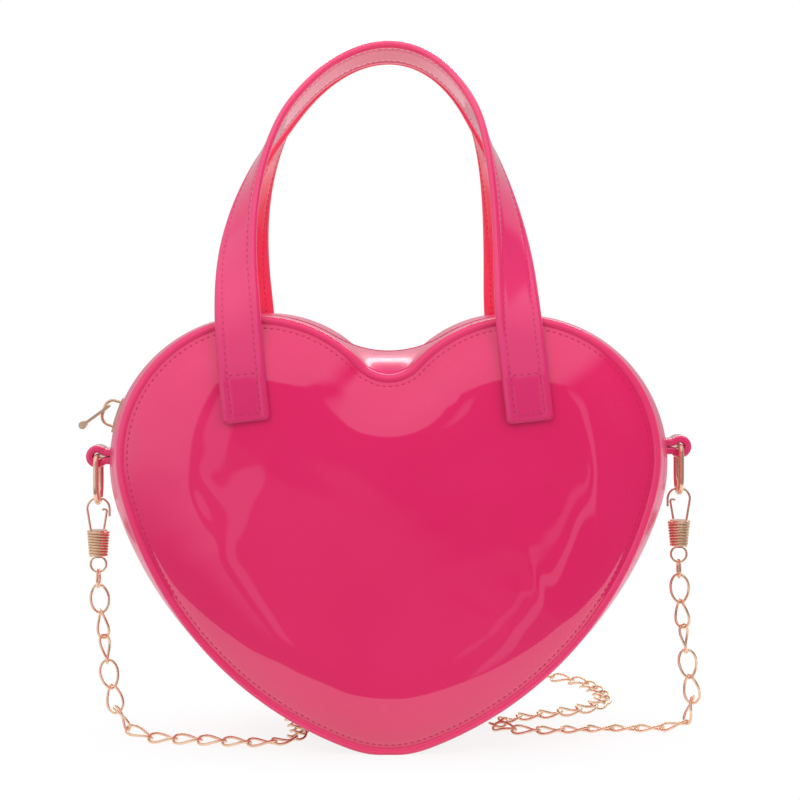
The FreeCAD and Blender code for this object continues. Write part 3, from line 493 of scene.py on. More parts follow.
def heart(sizes):
    """Arcs from the tip round by the right, as rows of x, z, radius, start, end and sense, in degrees."""
    lobe_r, side_r, tip_r = sizes["lobe_radius"], sizes["side_radius"], sizes["tip_radius"]
    lobe_x, lobe_z = sizes["half_width"] - lobe_r, sizes["lobe_top"] - lobe_r
    tip_z = sizes["bottom"] + tip_r
    dip_z = sizes["dip"]
    dip_r = math.hypot(lobe_x, dip_z - lobe_z) - lobe_r
    across, down = -lobe_x, tip_z - lobe_z
    apart = math.hypot(across, down)
    to_lobe, to_tip = side_r - lobe_r, side_r - tip_r
    along = (to_lobe ** 2 - to_tip ** 2 + apart ** 2) / (2 * apart)
    aside = math.sqrt(to_lobe ** 2 - along ** 2)
    side_x = lobe_x + (along * across + aside * down) / apart
    side_z = lobe_z + (along * down - aside * across) / apart
    tip_end = math.degrees(math.atan2(tip_z - side_z, -side_x))
    side_end = math.degrees(math.atan2(lobe_z - side_z, lobe_x - side_x))
    lobe_end = math.degrees(math.atan2(dip_z - lobe_z, -lobe_x))
    return np.array([
        (0, tip_z, tip_r, -180 - tip_end, tip_end, 1),
        (side_x, side_z, side_r, tip_end, side_end, 1),
        (lobe_x, lobe_z, lobe_r, side_end, lobe_end, 1),
        (0, dip_z, dip_r, lobe_end - 180, -lobe_end, -1),
        (-lobe_x, lobe_z, lobe_r, 180 - lobe_end, 180 - side_end, 1),
        (-side_x, side_z, side_r, 180 - side_end, 180 - tip_end, 1),
    ])


def around(arcs, turns, outwards):
    """Points (x, z) at shares of the way round a heart, moved outwards, and their outward directions.

    On each arc a point is centre + (radius + sense * outwards) * (cos a, sin a)."""
    x, z, radius, start, end, sense = arcs.T
    lengths = radius * np.radians(np.abs(end - start))
    marks = np.concatenate([[0], np.cumsum(lengths)]) / lengths.sum()
    arc = np.clip(np.searchsorted(marks, turns, "right") - 1, 0, len(x) - 1)
    share = (turns - marks[arc]) / (marks[arc + 1] - marks[arc])
    angle = np.radians(start[arc] + (end[arc] - start[arc]) * share)
    ray = np.stack([np.cos(angle), np.sin(angle)], -1)
    reach = radius[arc] + sense[arc] * outwards
    middle = np.stack([x[arc], z[arc]], -1)
    return middle + reach[..., None] * ray, sense[arc][..., None] * ray


def set_at(flat, y):
    """Points (x, z) as points of the bag at depth y."""
    x, z, y = np.broadcast_arrays(flat[..., 0], flat[..., 1], y)
    return np.stack([x, y, z], -1)


RIM_ARCS = heart(RIM)
CREST_ARCS = heart(CREST)
TURN_SHARES = np.arange(TURNS) / TURNS


# Panels

# Soft dents and folds of the front panel: x, z, direction in degrees, half length, half width, height
FOLDS = [
    (0.0, 0.078, 0, 0.055, 0.050, 0.0008),
    (-0.0429, 0.0892, 59, 0.019, 0.009, 0.00055),
    (-0.0527, 0.1065, 44, 0.012, 0.007, 0.00045),
    (-0.0345, 0.0385, -41, 0.016, 0.006, 0.0004),
    (-0.0214, 0.1280, -31, 0.010, 0.003, 0.0003),
    (-0.062, 0.088, -60, 0.008, 0.003, -0.0002),
    (0.071, 0.092, -78, 0.022, 0.005, 0.00045),
    (0.068, 0.074, -105, 0.018, 0.004, -0.0003),
    (0.046, 0.071, 20, 0.007, 0.005, 0.0003),
    (0.050, 0.060, -70, 0.006, 0.003, 0.0002),
]


def dome_height(inward):
    """The panel's rise at a distance inside the rim: height * (1 - (1 - run)^power), less the sewn groove."""
    run = np.clip((inward - DOME_EDGE) / DOME_RUN, 0, 1)
    groove = SEAM_DEPTH * np.exp(-((inward - SEAM_INSET) / SEAM_WIDTH) ** 2)
    return DOME_HEIGHT * (1 - (1 - run) ** DOME_POWER) - groove


def fold_height(flat):
    """The folds' sum, each height * exp(-(u / half length)^2 - (v / half width)^2), and a faint ripple."""
    x, z = flat[..., 0], flat[..., 1]
    sideways, bend, upwards = RIPPLE_RATES
    total = RIPPLE * np.sin(x * sideways + 2 * np.sin(z * bend)) * np.cos(z * upwards)
    for middle_x, middle_z, turn, half_length, half_width, height in FOLDS:
        c, s = math.cos(math.radians(turn)), math.sin(math.radians(turn))
        dx, dz = x - middle_x, z - middle_z
        u, v = (dx * c + dz * s) / half_length, (dz * c - dx * s) / half_width
        total = total + height * np.exp(-u * u - v * v)
    return total


def panel_grid():
    """The front panel: rings from the bead to the end of the dome, then rings that shrink to the middle."""
    run = np.linspace(0, 1, PANEL_RINGS) ** RING_POWER
    inward = PANEL_EDGE + (DOME_EDGE + DOME_RUN - PANEL_EDGE) * run
    outer, _ = around(RIM_ARCS, TURN_SHARES[None, :], -inward[:, None])
    height = np.broadcast_to(dome_height(inward)[:, None], outer.shape[:2])
    shrink = 1 - np.arange(1, MIDDLE_RINGS + 1) / (MIDDLE_RINGS + MIDDLE_GAP_SHARE)
    inner = PANEL_MIDDLE + (outer[-1][None] - PANEL_MIDDLE) * shrink[:, None, None]
    flat = np.concatenate([outer, inner])
    height = np.concatenate([height, np.full(inner.shape[:2], DOME_HEIGHT)])
    reach = np.concatenate([inward, np.full(MIDDLE_RINGS, inward[-1])])
    settle = smooth((reach - DOME_EDGE) / FOLD_SETTLE)
    height = height + fold_height(flat) * settle[:, None]
    return set_at(flat, -(FLANGE_FRONT + height))


def make_panels():
    """Both domed skins, each standing for its panel and for the lining behind it."""
    rings = panel_grid()
    middle = np.array([[PANEL_MIDDLE[0], rings[-1, :, 1].mean(), PANEL_MIDDLE[1]]])
    points = np.concatenate([rings.reshape(-1, 3), middle])
    rows = len(rings)
    faces = grid_faces(rows, TURNS, closed_columns=True)
    last = (rows - 1) * TURNS + np.arange(TURNS)
    fan = np.stack([last, np.roll(last, -1), np.full(TURNS, rows * TURNS)], 1)
    new_piece("front_skin", points, [faces, fan], PINK, "bag", ["front_panel", "front_lining"])
    new_piece("rear_skin", mirrored(points), [faces[:, ::-1], fan[:, ::-1]], PINK, "bag",
              ["rear_panel", "rear_lining"])


def round_profile(radius, sides):
    """A circle's points."""
    turn = 2 * np.pi * np.arange(sides) / sides
    return radius * np.stack([np.cos(turn), np.sin(turn)], -1)


def make_beads():
    """The beads round both rims: a circle carried round the outline."""
    flat, out = around(RIM_ARCS, TURN_SHARES, -BEAD_RADIUS)
    line = set_at(flat, -RIM_HALF_DEPTH)
    across = set_at(out, 0.0)
    thick = np.broadcast_to(np.array([0, -1.0, 0]), line.shape)
    points = sweep(line, across, thick, round_profile(BEAD_RADIUS, BEAD_SIDES)[None])
    points[..., 2] = np.maximum(points[..., 2], 0)
    faces = grid_faces(TURNS, BEAD_SIDES, True, True)
    new_piece("front_bead", points, [faces], BEAD_PINK, "bag", ["front_piping"])
    new_piece("rear_bead", mirrored(points), [faces[:, ::-1]], BEAD_PINK, "bag",
              ["rear_piping"])


# Stitches

def stitch_points(line, normals, proud_share, closed=False):
    """Stitches along a line that lies on a surface: each a capsule, its ends dipping into the surface.

    Its middle stands proud by a share of the thread's radius."""
    if closed:
        line = np.concatenate([line, line[:1]])
        normals = np.concatenate([normals, normals[:1]])
    lengths = lengths_along(line)
    count = max(int(lengths[-1] / STITCH_PITCH), 1)
    places = (np.arange(count) + 0.5) * lengths[-1] / count

    def at(values):
        return np.stack([np.interp(places, lengths, values[:, k]) for k in range(3)], 1)

    middle, normal = at(line), unit(at(normals))
    along = unit(at(np.gradient(line, axis=0)))
    aside = np.cross(normal, along)
    u = np.linspace(-1, 1, STITCH_RINGS)
    girth = STITCH_RADIUS * np.sqrt(1 - np.abs(u) ** STITCH_POWER)
    lift = STITCH_RADIUS * (proud_share - STITCH_DIP_SHARE * u ** 4)
    turn = 2 * np.pi * np.arange(STITCH_SIDES) / STITCH_SIDES
    run = along[:, None, None] * (STITCH_LENGTH / 2 * u)[None, :, None, None]
    rise = normal[:, None, None] * (lift[:, None] + girth[:, None] * np.sin(turn))[None, :, :, None]
    wide = aside[:, None, None] * (girth[:, None] * np.cos(turn))[None, :, :, None]
    points = middle[:, None, None] + run + rise + wide
    faces = grid_faces(STITCH_RINGS, STITCH_SIDES, closed_columns=True)
    every = faces[None] + (np.arange(count) * STITCH_RINGS * STITCH_SIDES)[:, None, None]
    return points.reshape(-1, 3), every.reshape(-1, 4)


def joined(parts):
    """Several (points, faces) as one."""
    points, faces, first = [], [], 0
    for some, quads in parts:
        points.append(some)
        faces.append(quads + first)
        first += len(some)
    return np.concatenate(points), np.concatenate(faces)


def make_rim_stitches():
    """The seam beside each bead."""
    flat, out = around(RIM_ARCS, TURN_SHARES, -SEAM_INSET)
    low, seam, high = dome_height(SEAM_INSET + SEAM_WIDTH * np.array([-1, 0, 1]))
    line = set_at(flat, -(FLANGE_FRONT + seam))
    slope = (high - low) / (2 * SEAM_WIDTH)
    normals = unit(set_at(out * slope, -1.0))
    points, faces = stitch_points(line, normals, PROUD_SHARE, closed=True)
    new_piece("front_rim_seam", points, [faces], THREAD, "bag")
    new_piece("rear_rim_seam", mirrored(points), [faces[:, ::-1]], THREAD, "bag")


# Gusset and zip strips

def barrel(turns, depth_shares, outwards):
    """The gusset's skin: at depth share s the outline lies 1 - s^2 of the way from the rim to the crest."""
    rows = []
    for s in depth_shares:
        sizes = {key: RIM[key] + (CREST[key] - RIM[key]) * (1 - s * s) for key in RIM}
        flat, _ = around(heart(sizes), turns, np.full(len(turns), outwards))
        rows.append(set_at(flat, s * GUSSET_HALF_DEPTH))
    points = np.stack(rows)
    points[..., 2] = np.maximum(points[..., 2], 0)
    return points


def shell(outer, inner):
    """A closed thin skin between two grids of the same shape."""
    rows, columns = outer.shape[:2]
    whole = np.concatenate([outer, inner[::-1]])
    return whole, grid_faces(2 * rows, columns, closed_rows=True)


def zip_turns():
    """The shares of the way round at which the zip begins, on the right, and ends, on the left."""
    turns = np.linspace(0, 1, ZIP_SEARCH)
    flat, _ = around(CREST_ARCS, turns, np.zeros(len(turns)))
    lobe_z = CREST["lobe_top"] - CREST["lobe_radius"]
    high = turns[flat[:, 1] > lobe_z + ZIP_END_RISE]
    return high.min(), high.max()


ZIP_FIRST, ZIP_LAST = zip_turns()


def make_gusset():
    """The lower gusset and the two zip strips above it."""
    turns = np.linspace(ZIP_LAST - 1, ZIP_FIRST, GUSSET_TURNS) % 1
    depth = np.linspace(-1, 1, GUSSET_ROWS)
    points, faces = shell(barrel(turns, depth, 0.0), barrel(turns, depth, -GUSSET_WALL))
    new_piece("gusset_skin", points, [faces], GUSSET_PINK, "bag", ["lower_gusset"])
    turns = np.linspace(ZIP_FIRST, ZIP_LAST, ZIP_TURNS)
    depth = np.linspace(-1, -STRIP_HALF_GAP / GUSSET_HALF_DEPTH, STRIP_ROWS)
    points, faces = shell(barrel(turns, depth, 0.0), barrel(turns, depth, -GUSSET_WALL))
    new_piece("front_strip_skin", points, [faces], GUSSET_PINK, "bag", ["front_zip_strip"])
    new_piece("rear_strip_skin", mirrored(points), [faces[:, ::-1]], GUSSET_PINK, "bag",
              ["rear_zip_strip"])
    share = -(STRIP_HALF_GAP + STRIP_SEAM_INSET) / GUSSET_HALF_DEPTH
    low, high = barrel(turns, [share], 0.0)[0], barrel(turns, [share], GUSSET_WALL)[0]
    points, faces = stitch_points(low, unit(high - low), SUNK_SHARE)
    new_piece("front_strip_seam", points, [faces], STRAP_THREAD, "bag")
    new_piece("rear_strip_seam", mirrored(points), [faces[:, ::-1]], STRAP_THREAD, "bag")


def make_tapes():
    """The two woven tapes under the strips."""
    turns = np.linspace(ZIP_FIRST, ZIP_LAST, ZIP_TURNS)
    upper, _ = around(CREST_ARCS, turns, np.full(len(turns), -TAPE_DEPTH))
    lower, _ = around(CREST_ARCS, turns, np.full(len(turns), -TAPE_DEPTH - TAPE_WALL))
    depth = np.linspace(-TAPE_HALF_WIDTH, -TAPE_HALF_GAP, TAPE_ROWS)
    points, faces = shell(set_at(upper[None], depth[:, None]), set_at(lower[None], depth[:, None]))
    new_piece("front_tape", points, [faces], TAPE, "bag", ["front_zip_tape"])
    new_piece("rear_tape", mirrored(points), [faces[:, ::-1]], TAPE, "bag", ["rear_zip_tape"])


# Strap handles

def lobe_inward(x, z):
    """How far inside the rim a place behind a strap is: the lobe's radius less the distance to its centre."""
    lobe_x = RIM["half_width"] - RIM["lobe_radius"]
    lobe_z = RIM["lobe_top"] - RIM["lobe_radius"]
    return RIM["lobe_radius"] - np.hypot(np.abs(x) - lobe_x, z - lobe_z)


HANDLE_RISE = HANDLE_STRAIGHT + HANDLE_ARCH_RISE
FOOT_Y = -(FLANGE_FRONT + dome_height(np.array(HINGE_DROP)) + STRAP_PLAY + STRAP_WALL / 2)
CROWN_RUN = math.hypot(HANDLE_RISE + STRAP_WALL / 2, STRAP_WIDTH / 2)
LEAN = math.asin((-FOOT_Y - HANDLE_GAP) / CROWN_RUN) - math.asin(STRAP_WIDTH / 2 / CROWN_RUN)
LEAN_UP = np.array([0, math.sin(LEAN), math.cos(LEAN)])
LEAN_FRONT = np.array([0, -math.cos(LEAN), math.sin(LEAN)])


def softened(values, reach):
    """Values along a line, each averaged with its neighbours by a bell of that many steps; the ends stay."""
    steps = np.arange(-3 * reach, 3 * reach + 1)
    weights = np.exp(-(steps / reach) ** 2)
    weights /= weights.sum()
    first = 2 * values[:1] - values[3 * reach:0:-1]
    last = 2 * values[-1:] - values[-2:-3 * reach - 2:-1]
    padded = np.concatenate([first, values, last])
    return np.stack([np.convolve(padded[:, k], weights, "valid") for k in range(values.shape[1])], 1)


def sway(up):
    """How far a strap has drifted to the left, up from its hinge: half a wave from its end to its crown."""
    return HANDLE_SWAY * np.sin(np.pi * (up + STRAP_END_LENGTH) / (HANDLE_RISE + STRAP_END_LENGTH))


def strap_line():
    """The front strap's middle line, width direction and thickness direction, from the left end to the right.

    Below the hinge it lies on the panel. Above, it climbs the leaning plane, straight and then on a half
    ellipse, and turns on edge evenly by 90 degrees between the start and the end of its twist."""
    end_steps, straight_steps, arch_steps = STRAP_STEPS
    below = np.linspace(-STRAP_END_LENGTH, 0, end_steps, endpoint=False)
    straight = np.linspace(0, HANDLE_STRAIGHT, straight_steps, endpoint=False)
    turn = np.linspace(0, np.pi / 2, arch_steps)
    up = np.concatenate([below, straight, HANDLE_STRAIGHT + HANDLE_ARCH_RISE * np.sin(turn)])
    aside = np.concatenate([np.full(end_steps + straight_steps, STRAP_LEG_X), STRAP_LEG_X * np.cos(turn)])
    up = np.concatenate([up, up[-2::-1]])
    x = np.concatenate([-aside, aside[-2::-1]]) - sway(up)
    z = HINGE_Z + np.where(up < 0, up, up * LEAN_UP[2])
    on_panel = -(FLANGE_FRONT + dome_height(lobe_inward(x, z)) + STRAP_WALL / 2)
    y = np.where(up < 0, on_panel, FOOT_Y + up * LEAN_UP[1])
    line = softened(np.stack([x, y, z], 1), STRAP_SOFTENING)
    along = tangents(line)
    inward = (along @ LEAN_UP)[:, None] * np.array([1.0, 0, 0]) - along[:, :1] * LEAN_UP
    turned = np.clip((up - TWIST_START) / TWIST_LENGTH, 0, 1)
    twist = np.pi / 2 * softened(turned[:, None], TWIST_SOFTENING)
    across = inward * np.cos(twist) + LEAN_FRONT * np.sin(twist)
    across = unit(across - along * (across * along).sum(1, keepdims=True))
    return line, across, np.cross(across, along)


def strap_half_wall(aside):
    """Half the strap's thickness at a distance from its middle: rolled edges, sewn grooves, a flat middle."""
    seam = STRAP_WIDTH / 2 - STRAP_SEAM_INSET
    share = np.clip(np.abs(aside) / (STRAP_WIDTH / 2), 0, 1)
    rounded = np.sqrt(1 - share ** STRAP_EDGE_POWER)
    edge = smooth((np.abs(aside) - seam) / (STRAP_SEAM_INSET / 2))
    wall = STRAP_WALL + (STRAP_EDGE_WALL - STRAP_WALL) * edge
    groove = SEAM_DEPTH * np.exp(-((np.abs(aside) - seam) / SEAM_WIDTH) ** 2)
    return wall / 2 * rounded - groove


def strap_profile():
    """The closed outline across the strap, as (aside, up) points."""
    aside = STRAP_WIDTH / 2 * np.sin(np.linspace(-np.pi / 2, np.pi / 2, STRAP_PROFILE_POINTS))
    half = strap_half_wall(aside)
    top = np.stack([aside, half], 1)
    under = np.stack([aside[-2:0:-1], -half[-2:0:-1]], 1)
    return np.concatenate([top, under])


def strap_seams(line, across, thick):
    """A strap's stitches: along both edges of both faces, and across its sewn ends as a box."""
    lengths = lengths_along(line)
    to_end = np.minimum(lengths, lengths[-1] - lengths)
    seam = STRAP_WIDTH / 2 - STRAP_SEAM_INSET
    rise = strap_half_wall(np.array(seam))
    outer, inner = to_end > END_SEAM_RISE, to_end > STRAP_END_LENGTH + STRAP_WALL
    parts = []
    for side in (-seam, seam):
        for face, keep in ((1, outer), (-1, inner)):
            seam_line = (line + across * side + thick * (face * rise))[keep]
            parts.append(stitch_points(seam_line, face * thick[keep], PROUD_SHARE))
    asides = np.linspace(-seam, seam, CROSS_SEAM_POINTS)
    for distance in (END_SEAM_RISE, STRAP_END_LENGTH - BOX_SEAM_DROP):
        for place in (distance, lengths[-1] - distance):
            at = np.argmin(np.abs(lengths - place))
            seam_line = line[at] + across[at] * asides[:, None] + thick[at] * strap_half_wall(asides)[:, None]
            parts.append(stitch_points(seam_line, np.broadcast_to(thick[at], seam_line.shape), PROUD_SHARE))
    return joined(parts)


def make_strap(name, flip, replaced, material, seam_material):
    """One strap from sewn end to sewn end, with its seams, its shape leaning back where it leaves the panel.
    """
    line, across, thick = strap_line()
    lengths = lengths_along(line)
    to_end = np.minimum(lengths, lengths[-1] - lengths)
    corner = np.clip(1 - to_end / STRAP_CORNER, 0, 1)
    width = 1 - STRAP_CORNER / (STRAP_WIDTH / 2) * (1 - np.sqrt(1 - corner ** 2))
    tip = np.clip(1 - to_end / (STRAP_WALL / 2), 0, 1)
    wall = np.sqrt(1 - STRAP_TIP_SHARE * tip ** 2)
    points = sweep(line, across, thick, strap_profile()[None] * np.stack([width, wall], -1)[:, None])
    rows, columns = points.shape[:2]
    faces = grid_faces(rows, columns, closed_columns=True)
    ladder = np.arange(1, columns // 2)
    cap = np.stack([ladder[:-1], ladder[1:], columns - ladder[1:], columns - ladder[:-1]], 1)
    cap_end = (rows - 1) * columns + cap[:, ::-1]
    seam_points, seam_faces = strap_seams(line, across, thick)
    turned = mirrored if flip else np.asarray
    side = -1 if flip else 1
    order = slice(None, None, side)
    skin = [faces[:, order], cap[:, order], cap_end[:, order]]
    strap = new_piece(name, turned(points), skin, material, None, replaced)
    seams = new_piece(name + "_seams", turned(seam_points), [seam_faces[:, order]], seam_material, None)
    for piece in (strap, seams):
        start = (0, side * FOOT_Y, HINGE_Z - STRAP_WALL / 2)
        end = (0, side * FOOT_Y, HINGE_Z + STRAP_WALL)
        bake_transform(piece)


# Side tabs

def make_tabs():
    """Strips folded round the rings' bars: out along the top, round the bar, and back underneath."""
    meet = math.asin(TAB_WALL / 2 / TAB_LOOP_RADIUS)
    turn = np.linspace(np.pi - meet, meet - np.pi, TAB_LOOP_STEPS)
    loop = TAB_LOOP_RADIUS * np.stack([np.cos(turn), np.sin(turn)], 1)
    out = np.linspace(-TAB_SINK, loop[0, 0], TAB_STEPS, endpoint=False)
    upper = np.stack([out, np.full(TAB_STEPS, TAB_WALL / 2)], 1)
    lower = np.stack([out[::-1], np.full(TAB_STEPS, -TAB_WALL / 2)], 1)
    line = softened(set_at(np.concatenate([upper, loop, lower]), 0.0), TAB_SOFTENING)
    along = tangents(line)
    across = np.broadcast_to(np.array([0, 1.0, 0]), line.shape)
    turn = 2 * np.pi * np.arange(TAB_SIDES) / TAB_SIDES
    wide = TAB_WIDTH / 2 * np.sign(np.cos(turn)) * np.abs(np.cos(turn)) ** TAB_WIDE_POWER
    thickness = TAB_FILL_SHARE * TAB_WALL
    high = thickness / 2 * np.sign(np.sin(turn)) * np.abs(np.sin(turn)) ** TAB_HIGH_POWER
    points = sweep(line, across, np.cross(across, along), np.stack([wide, high], -1)[None])
    faces = grid_faces(len(line), TAB_SIDES, closed_columns=True)
    for side, name in ((1, "right"), (-1, "left")):
        joint = next(j for j in frame["joints"] if j["name"] == name + "_ring_swing")
        placed = points * np.array([side, 1, 1]) + np.array(joint["pos_m"])
        new_piece(name + "_loop", placed, [faces[:, ::side]], STRAP_PINK, "bag",
                  [name + "_tab"])


# Clasp windings

def make_winding(name, side):
    """A wire wound up a tapered core: its radius changes evenly with height, and it climbs a pitch a turn."""
    low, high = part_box(name + "_clasp_core")
    middle = np.array([(low.x + high.x) / 2, 0, low.z])
    core = frame["nodes"][name + "_clasp_core"].data
    corners = np.zeros(len(core.vertices) * 3)
    core.vertices.foreach_get("co", corners)
    corners = corners.reshape(-1, 3) - middle
    reach = np.hypot(corners[:, 0], corners[:, 1])
    core_height = high.z - low.z
    is_foot = corners[:, 2] < core_height / 2
    foot_radius, top_radius = reach[is_foot].max(), reach[~is_foot].max()
    turns = np.linspace(0, WINDING_TURNS, WINDING_TURNS * WINDING_STEPS + 1)
    height = (core_height - WINDING_TURNS * WINDING_PITCH) / 2 + turns * WINDING_PITCH
    core_radius = foot_radius + (top_radius - foot_radius) * height / core_height
    radius = core_radius + WINDING_WIRE_RADIUS + WINDING_PLAY
    angle = 2 * np.pi * turns
    out = np.stack([side * np.cos(angle), np.sin(angle), np.zeros(len(turns))], 1)
    line = middle + radius[:, None] * out + height[:, None] * np.array([0, 0, 1.0])
    along = tangents(line)
    across = unit(out - along * (out * along).sum(1, keepdims=True))
    to_end = np.minimum(turns, turns[::-1])
    girth = WINDING_WIRE_RADIUS * np.clip(np.sqrt(to_end / WINDING_TAPER), WINDING_TIP_SHARE, 1)
    profile = round_profile(1.0, WINDING_SIDES)[None] * girth[:, None, None]
    points = sweep(line, across, np.cross(along, across), profile)
    faces = grid_faces(len(line), WINDING_SIDES, closed_columns=True)
    new_piece(name + "_winding", points, [faces], GOLD, name + "_drop",
              [name + "_clasp_winding"])


# Chain

def coil_route():
    """Loops that spiral in on the floor, climb, and spiral out again on top."""
    count = COIL_HALF_TURNS * COIL_POINTS // 2
    climb_start, climb_end = COIL_CLIMB_SHARES
    step = np.arange(2 * count + 1)
    inwards = np.minimum(step, 2 * count - step) / count
    radius = COIL_OUTER_RADIUS - (COIL_OUTER_RADIUS - COIL_INNER_RADIUS) * inwards
    turn = math.radians(COIL_START) + 2 * np.pi * step / COIL_POINTS
    climbed = smooth((step / count - climb_start) / (climb_end - climb_start))
    x = COIL_MIDDLE[0] + radius * np.cos(turn)
    y = COIL_MIDDLE[1] + radius * np.sin(turn)
    return np.stack([x, y, FLOOR_LINE + COIL_LAYER * climbed], 1).tolist()


def chain_line():
    """The chain's line as close points of a spline along its route, from the left jump ring to the right."""
    left_low, left_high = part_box("left_jump_ring")
    right_low, right_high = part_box("right_jump_ring")
    grip = 2 * JUMP_WIRE_RADIUS + LINK_PLAY / 2
    left_end = ((left_low.x + left_high.x) / 2, 0.0, left_low.z + grip)
    right_end = ((right_low.x + right_high.x) / 2, 0.0, right_low.z + grip)
    poles = [left_end] + LEFT_ROUTE + coil_route() + RIGHT_ROUTE + [right_end]
    curve = bpy.data.curves.new("chain_route", "CURVE")
    curve.dimensions = "3D"
    spline = curve.splines.new("NURBS")
    spline.points.add(len(poles) - 1)
    spline.points.foreach_set("co", np.c_[np.array(poles), np.ones(len(poles))].ravel())
    spline.order_u = 3
    spline.use_endpoint_u = True
    spline.resolution_u = LINE_POINTS
    holder = bpy.data.objects.new("chain_route", curve)
    mesh = bpy.data.meshes.new_from_object(holder)
    points = np.zeros(len(mesh.vertices) * 3)
    mesh.vertices.foreach_get("co", points)
    bpy.data.meshes.remove(mesh)
    bpy.data.objects.remove(holder)
    bpy.data.curves.remove(curve)
    return points.reshape(-1, 3)


def march(points, pitch):
    """Places a straight pitch apart, from the first of the points on, and where each is in the list."""
    places, spots = [points[0]], [0]
    for index in range(1, len(points)):
        reach = np.linalg.norm(points[index] - places[-1])
        if reach >= pitch:
            near = np.linalg.norm(points[index - 1] - places[-1])
            share = (pitch - near) / (reach - near)
            places.append(points[index - 1] + (points[index] - points[index - 1]) * share)
            spots.append(index - 1)
    return np.array(places), spots


def link_shape():
    """One link: an oval wire, x = a cos t, y = b sin t, twisted about x by an angle that grows with x / a."""
    turn = 2 * np.pi * np.arange(LINK_STEPS) / LINK_STEPS
    long, wide = LINK_LENGTH / 2 - LINK_WIRE_RADIUS, LINK_WIDTH / 2 - LINK_WIRE_RADIUS
    x = long * np.sign(np.cos(turn)) * np.abs(np.cos(turn)) ** LINK_POWER
    aside = wide * np.sin(turn)
    twist = math.radians(LINK_TWIST) * x / long
    line = np.stack([x, aside * np.cos(twist), aside * np.sin(twist)], 1)
    along = tangents(line, closed=True)
    out = unit(line)
    across = unit(out - along * (out * along).sum(1, keepdims=True))
    profile = round_profile(LINK_WIRE_RADIUS, LINK_SIDES)[None]
    points = sweep(line, across, np.cross(along, across), profile)
    return points.reshape(-1, 3), grid_faces(LINK_STEPS, LINK_SIDES, True, True)


def set_links(places, rolls, level):
    """Links set end to end between places, each turned about its length by its roll, in degrees.

    The roll counts from the level, or from a side direction that is carried along from link to link."""
    shape, quads = link_shape()
    aside = np.array([1.0, 0, 0])
    parts = []
    for start, end, roll in zip(places, places[1:], rolls):
        along = unit(end - start)
        if level:
            aside = np.array([-along[1], along[0], 0])
        aside = unit(aside - along * (aside @ along))
        up = np.cross(along, aside)
        turn = math.radians(roll)
        wide = aside * math.cos(turn) + up * math.sin(turn)
        turned = shape @ np.stack([along, wide, np.cross(along, wide)])
        parts.append((turned + (start + end) / 2, quads))
    return joined(parts)


def make_chain():
    """The links that hang from each clasp, and those that lie between them, as three cords of links."""
    points = chain_line()
    cuts = {}
    for side, line in (("left", points), ("right", points[::-1])):
        places, spots = march(line, LINK_PITCH_MOST)
        places = places[:DROP_LINKS + 1]
        shape, faces = set_links(places, DROP_TURN[side] * np.arange(DROP_LINKS), False)
        foot = spots[DROP_LINKS]
        while np.linalg.norm(line[foot] - places[-1]) < LYING_SLACK:
            foot -= 1
        cuts[side] = foot
        drop = new_piece(side + "_hanging_links", shape, [faces], GOLD, side + "_drop",
                         [side + "_drop_chain"])
        path = np.concatenate([line[:spots[DROP_LINKS] + 1], places[-1:]])
    lying = points[cuts["left"]:len(points) - cuts["right"]]
    count = len(march(lying, LINK_PITCH_MOST)[0])
    low, high = LEAST_PITCH_SHARE * LINK_PITCH_MOST, LINK_PITCH_MOST
    for _ in range(PITCH_HALVINGS):
        pitch = (low + high) / 2
        more = len(march(lying, pitch)[0]) > count
        low, high = (pitch, high) if more else (low, pitch)
    places, _ = march(lying, low)
    rolls = LYING_ROLL * np.sin(LYING_ROLL_RATE * np.arange(len(places)))
    rolls[0] = FIRST_ROLL
    shape, faces = set_links(places, rolls, True)
    shape[:, 2] = np.maximum(shape[:, 2], 0)
    chain = new_piece("lying_links", shape, [faces], GOLD, "bag",
                      ["left_floor_chain", "chain_coil", "right_floor_chain"])


# Kept CAD pieces

def finish_metal():
    """Gives the CAD pieces that stay their metal."""
    for name, node in frame["nodes"].items():
        if node.hide_render:
            continue
        material = ZIP_GOLD if "zip" in name and "slider" not in name else GOLD
        node.data.materials.clear()
        node.data.materials.append(material)
        node.data.polygons.foreach_set("use_smooth", np.ones(len(node.data.polygons), bool))


# Camera, floor and light

def make_camera():
    """A level camera whose picture is shifted onto the bag."""
    data = bpy.data.cameras.new("camera")
    data.lens = data.sensor_width * CAMERA_DISTANCE / PICTURE_WIDTH
    data.shift_x = PICTURE_MIDDLE[0] / PICTURE_WIDTH
    data.shift_y = (PICTURE_MIDDLE[1] - CAMERA_HEIGHT) / PICTURE_WIDTH
    camera = bpy.data.objects.new("camera", data)
    camera.location = (0, -RIM_HALF_DEPTH - CAMERA_DISTANCE, CAMERA_HEIGHT)
    camera.rotation_euler = (math.pi / 2, 0, 0)
    bpy.context.scene.collection.objects.link(camera)
    bpy.context.scene.camera = camera


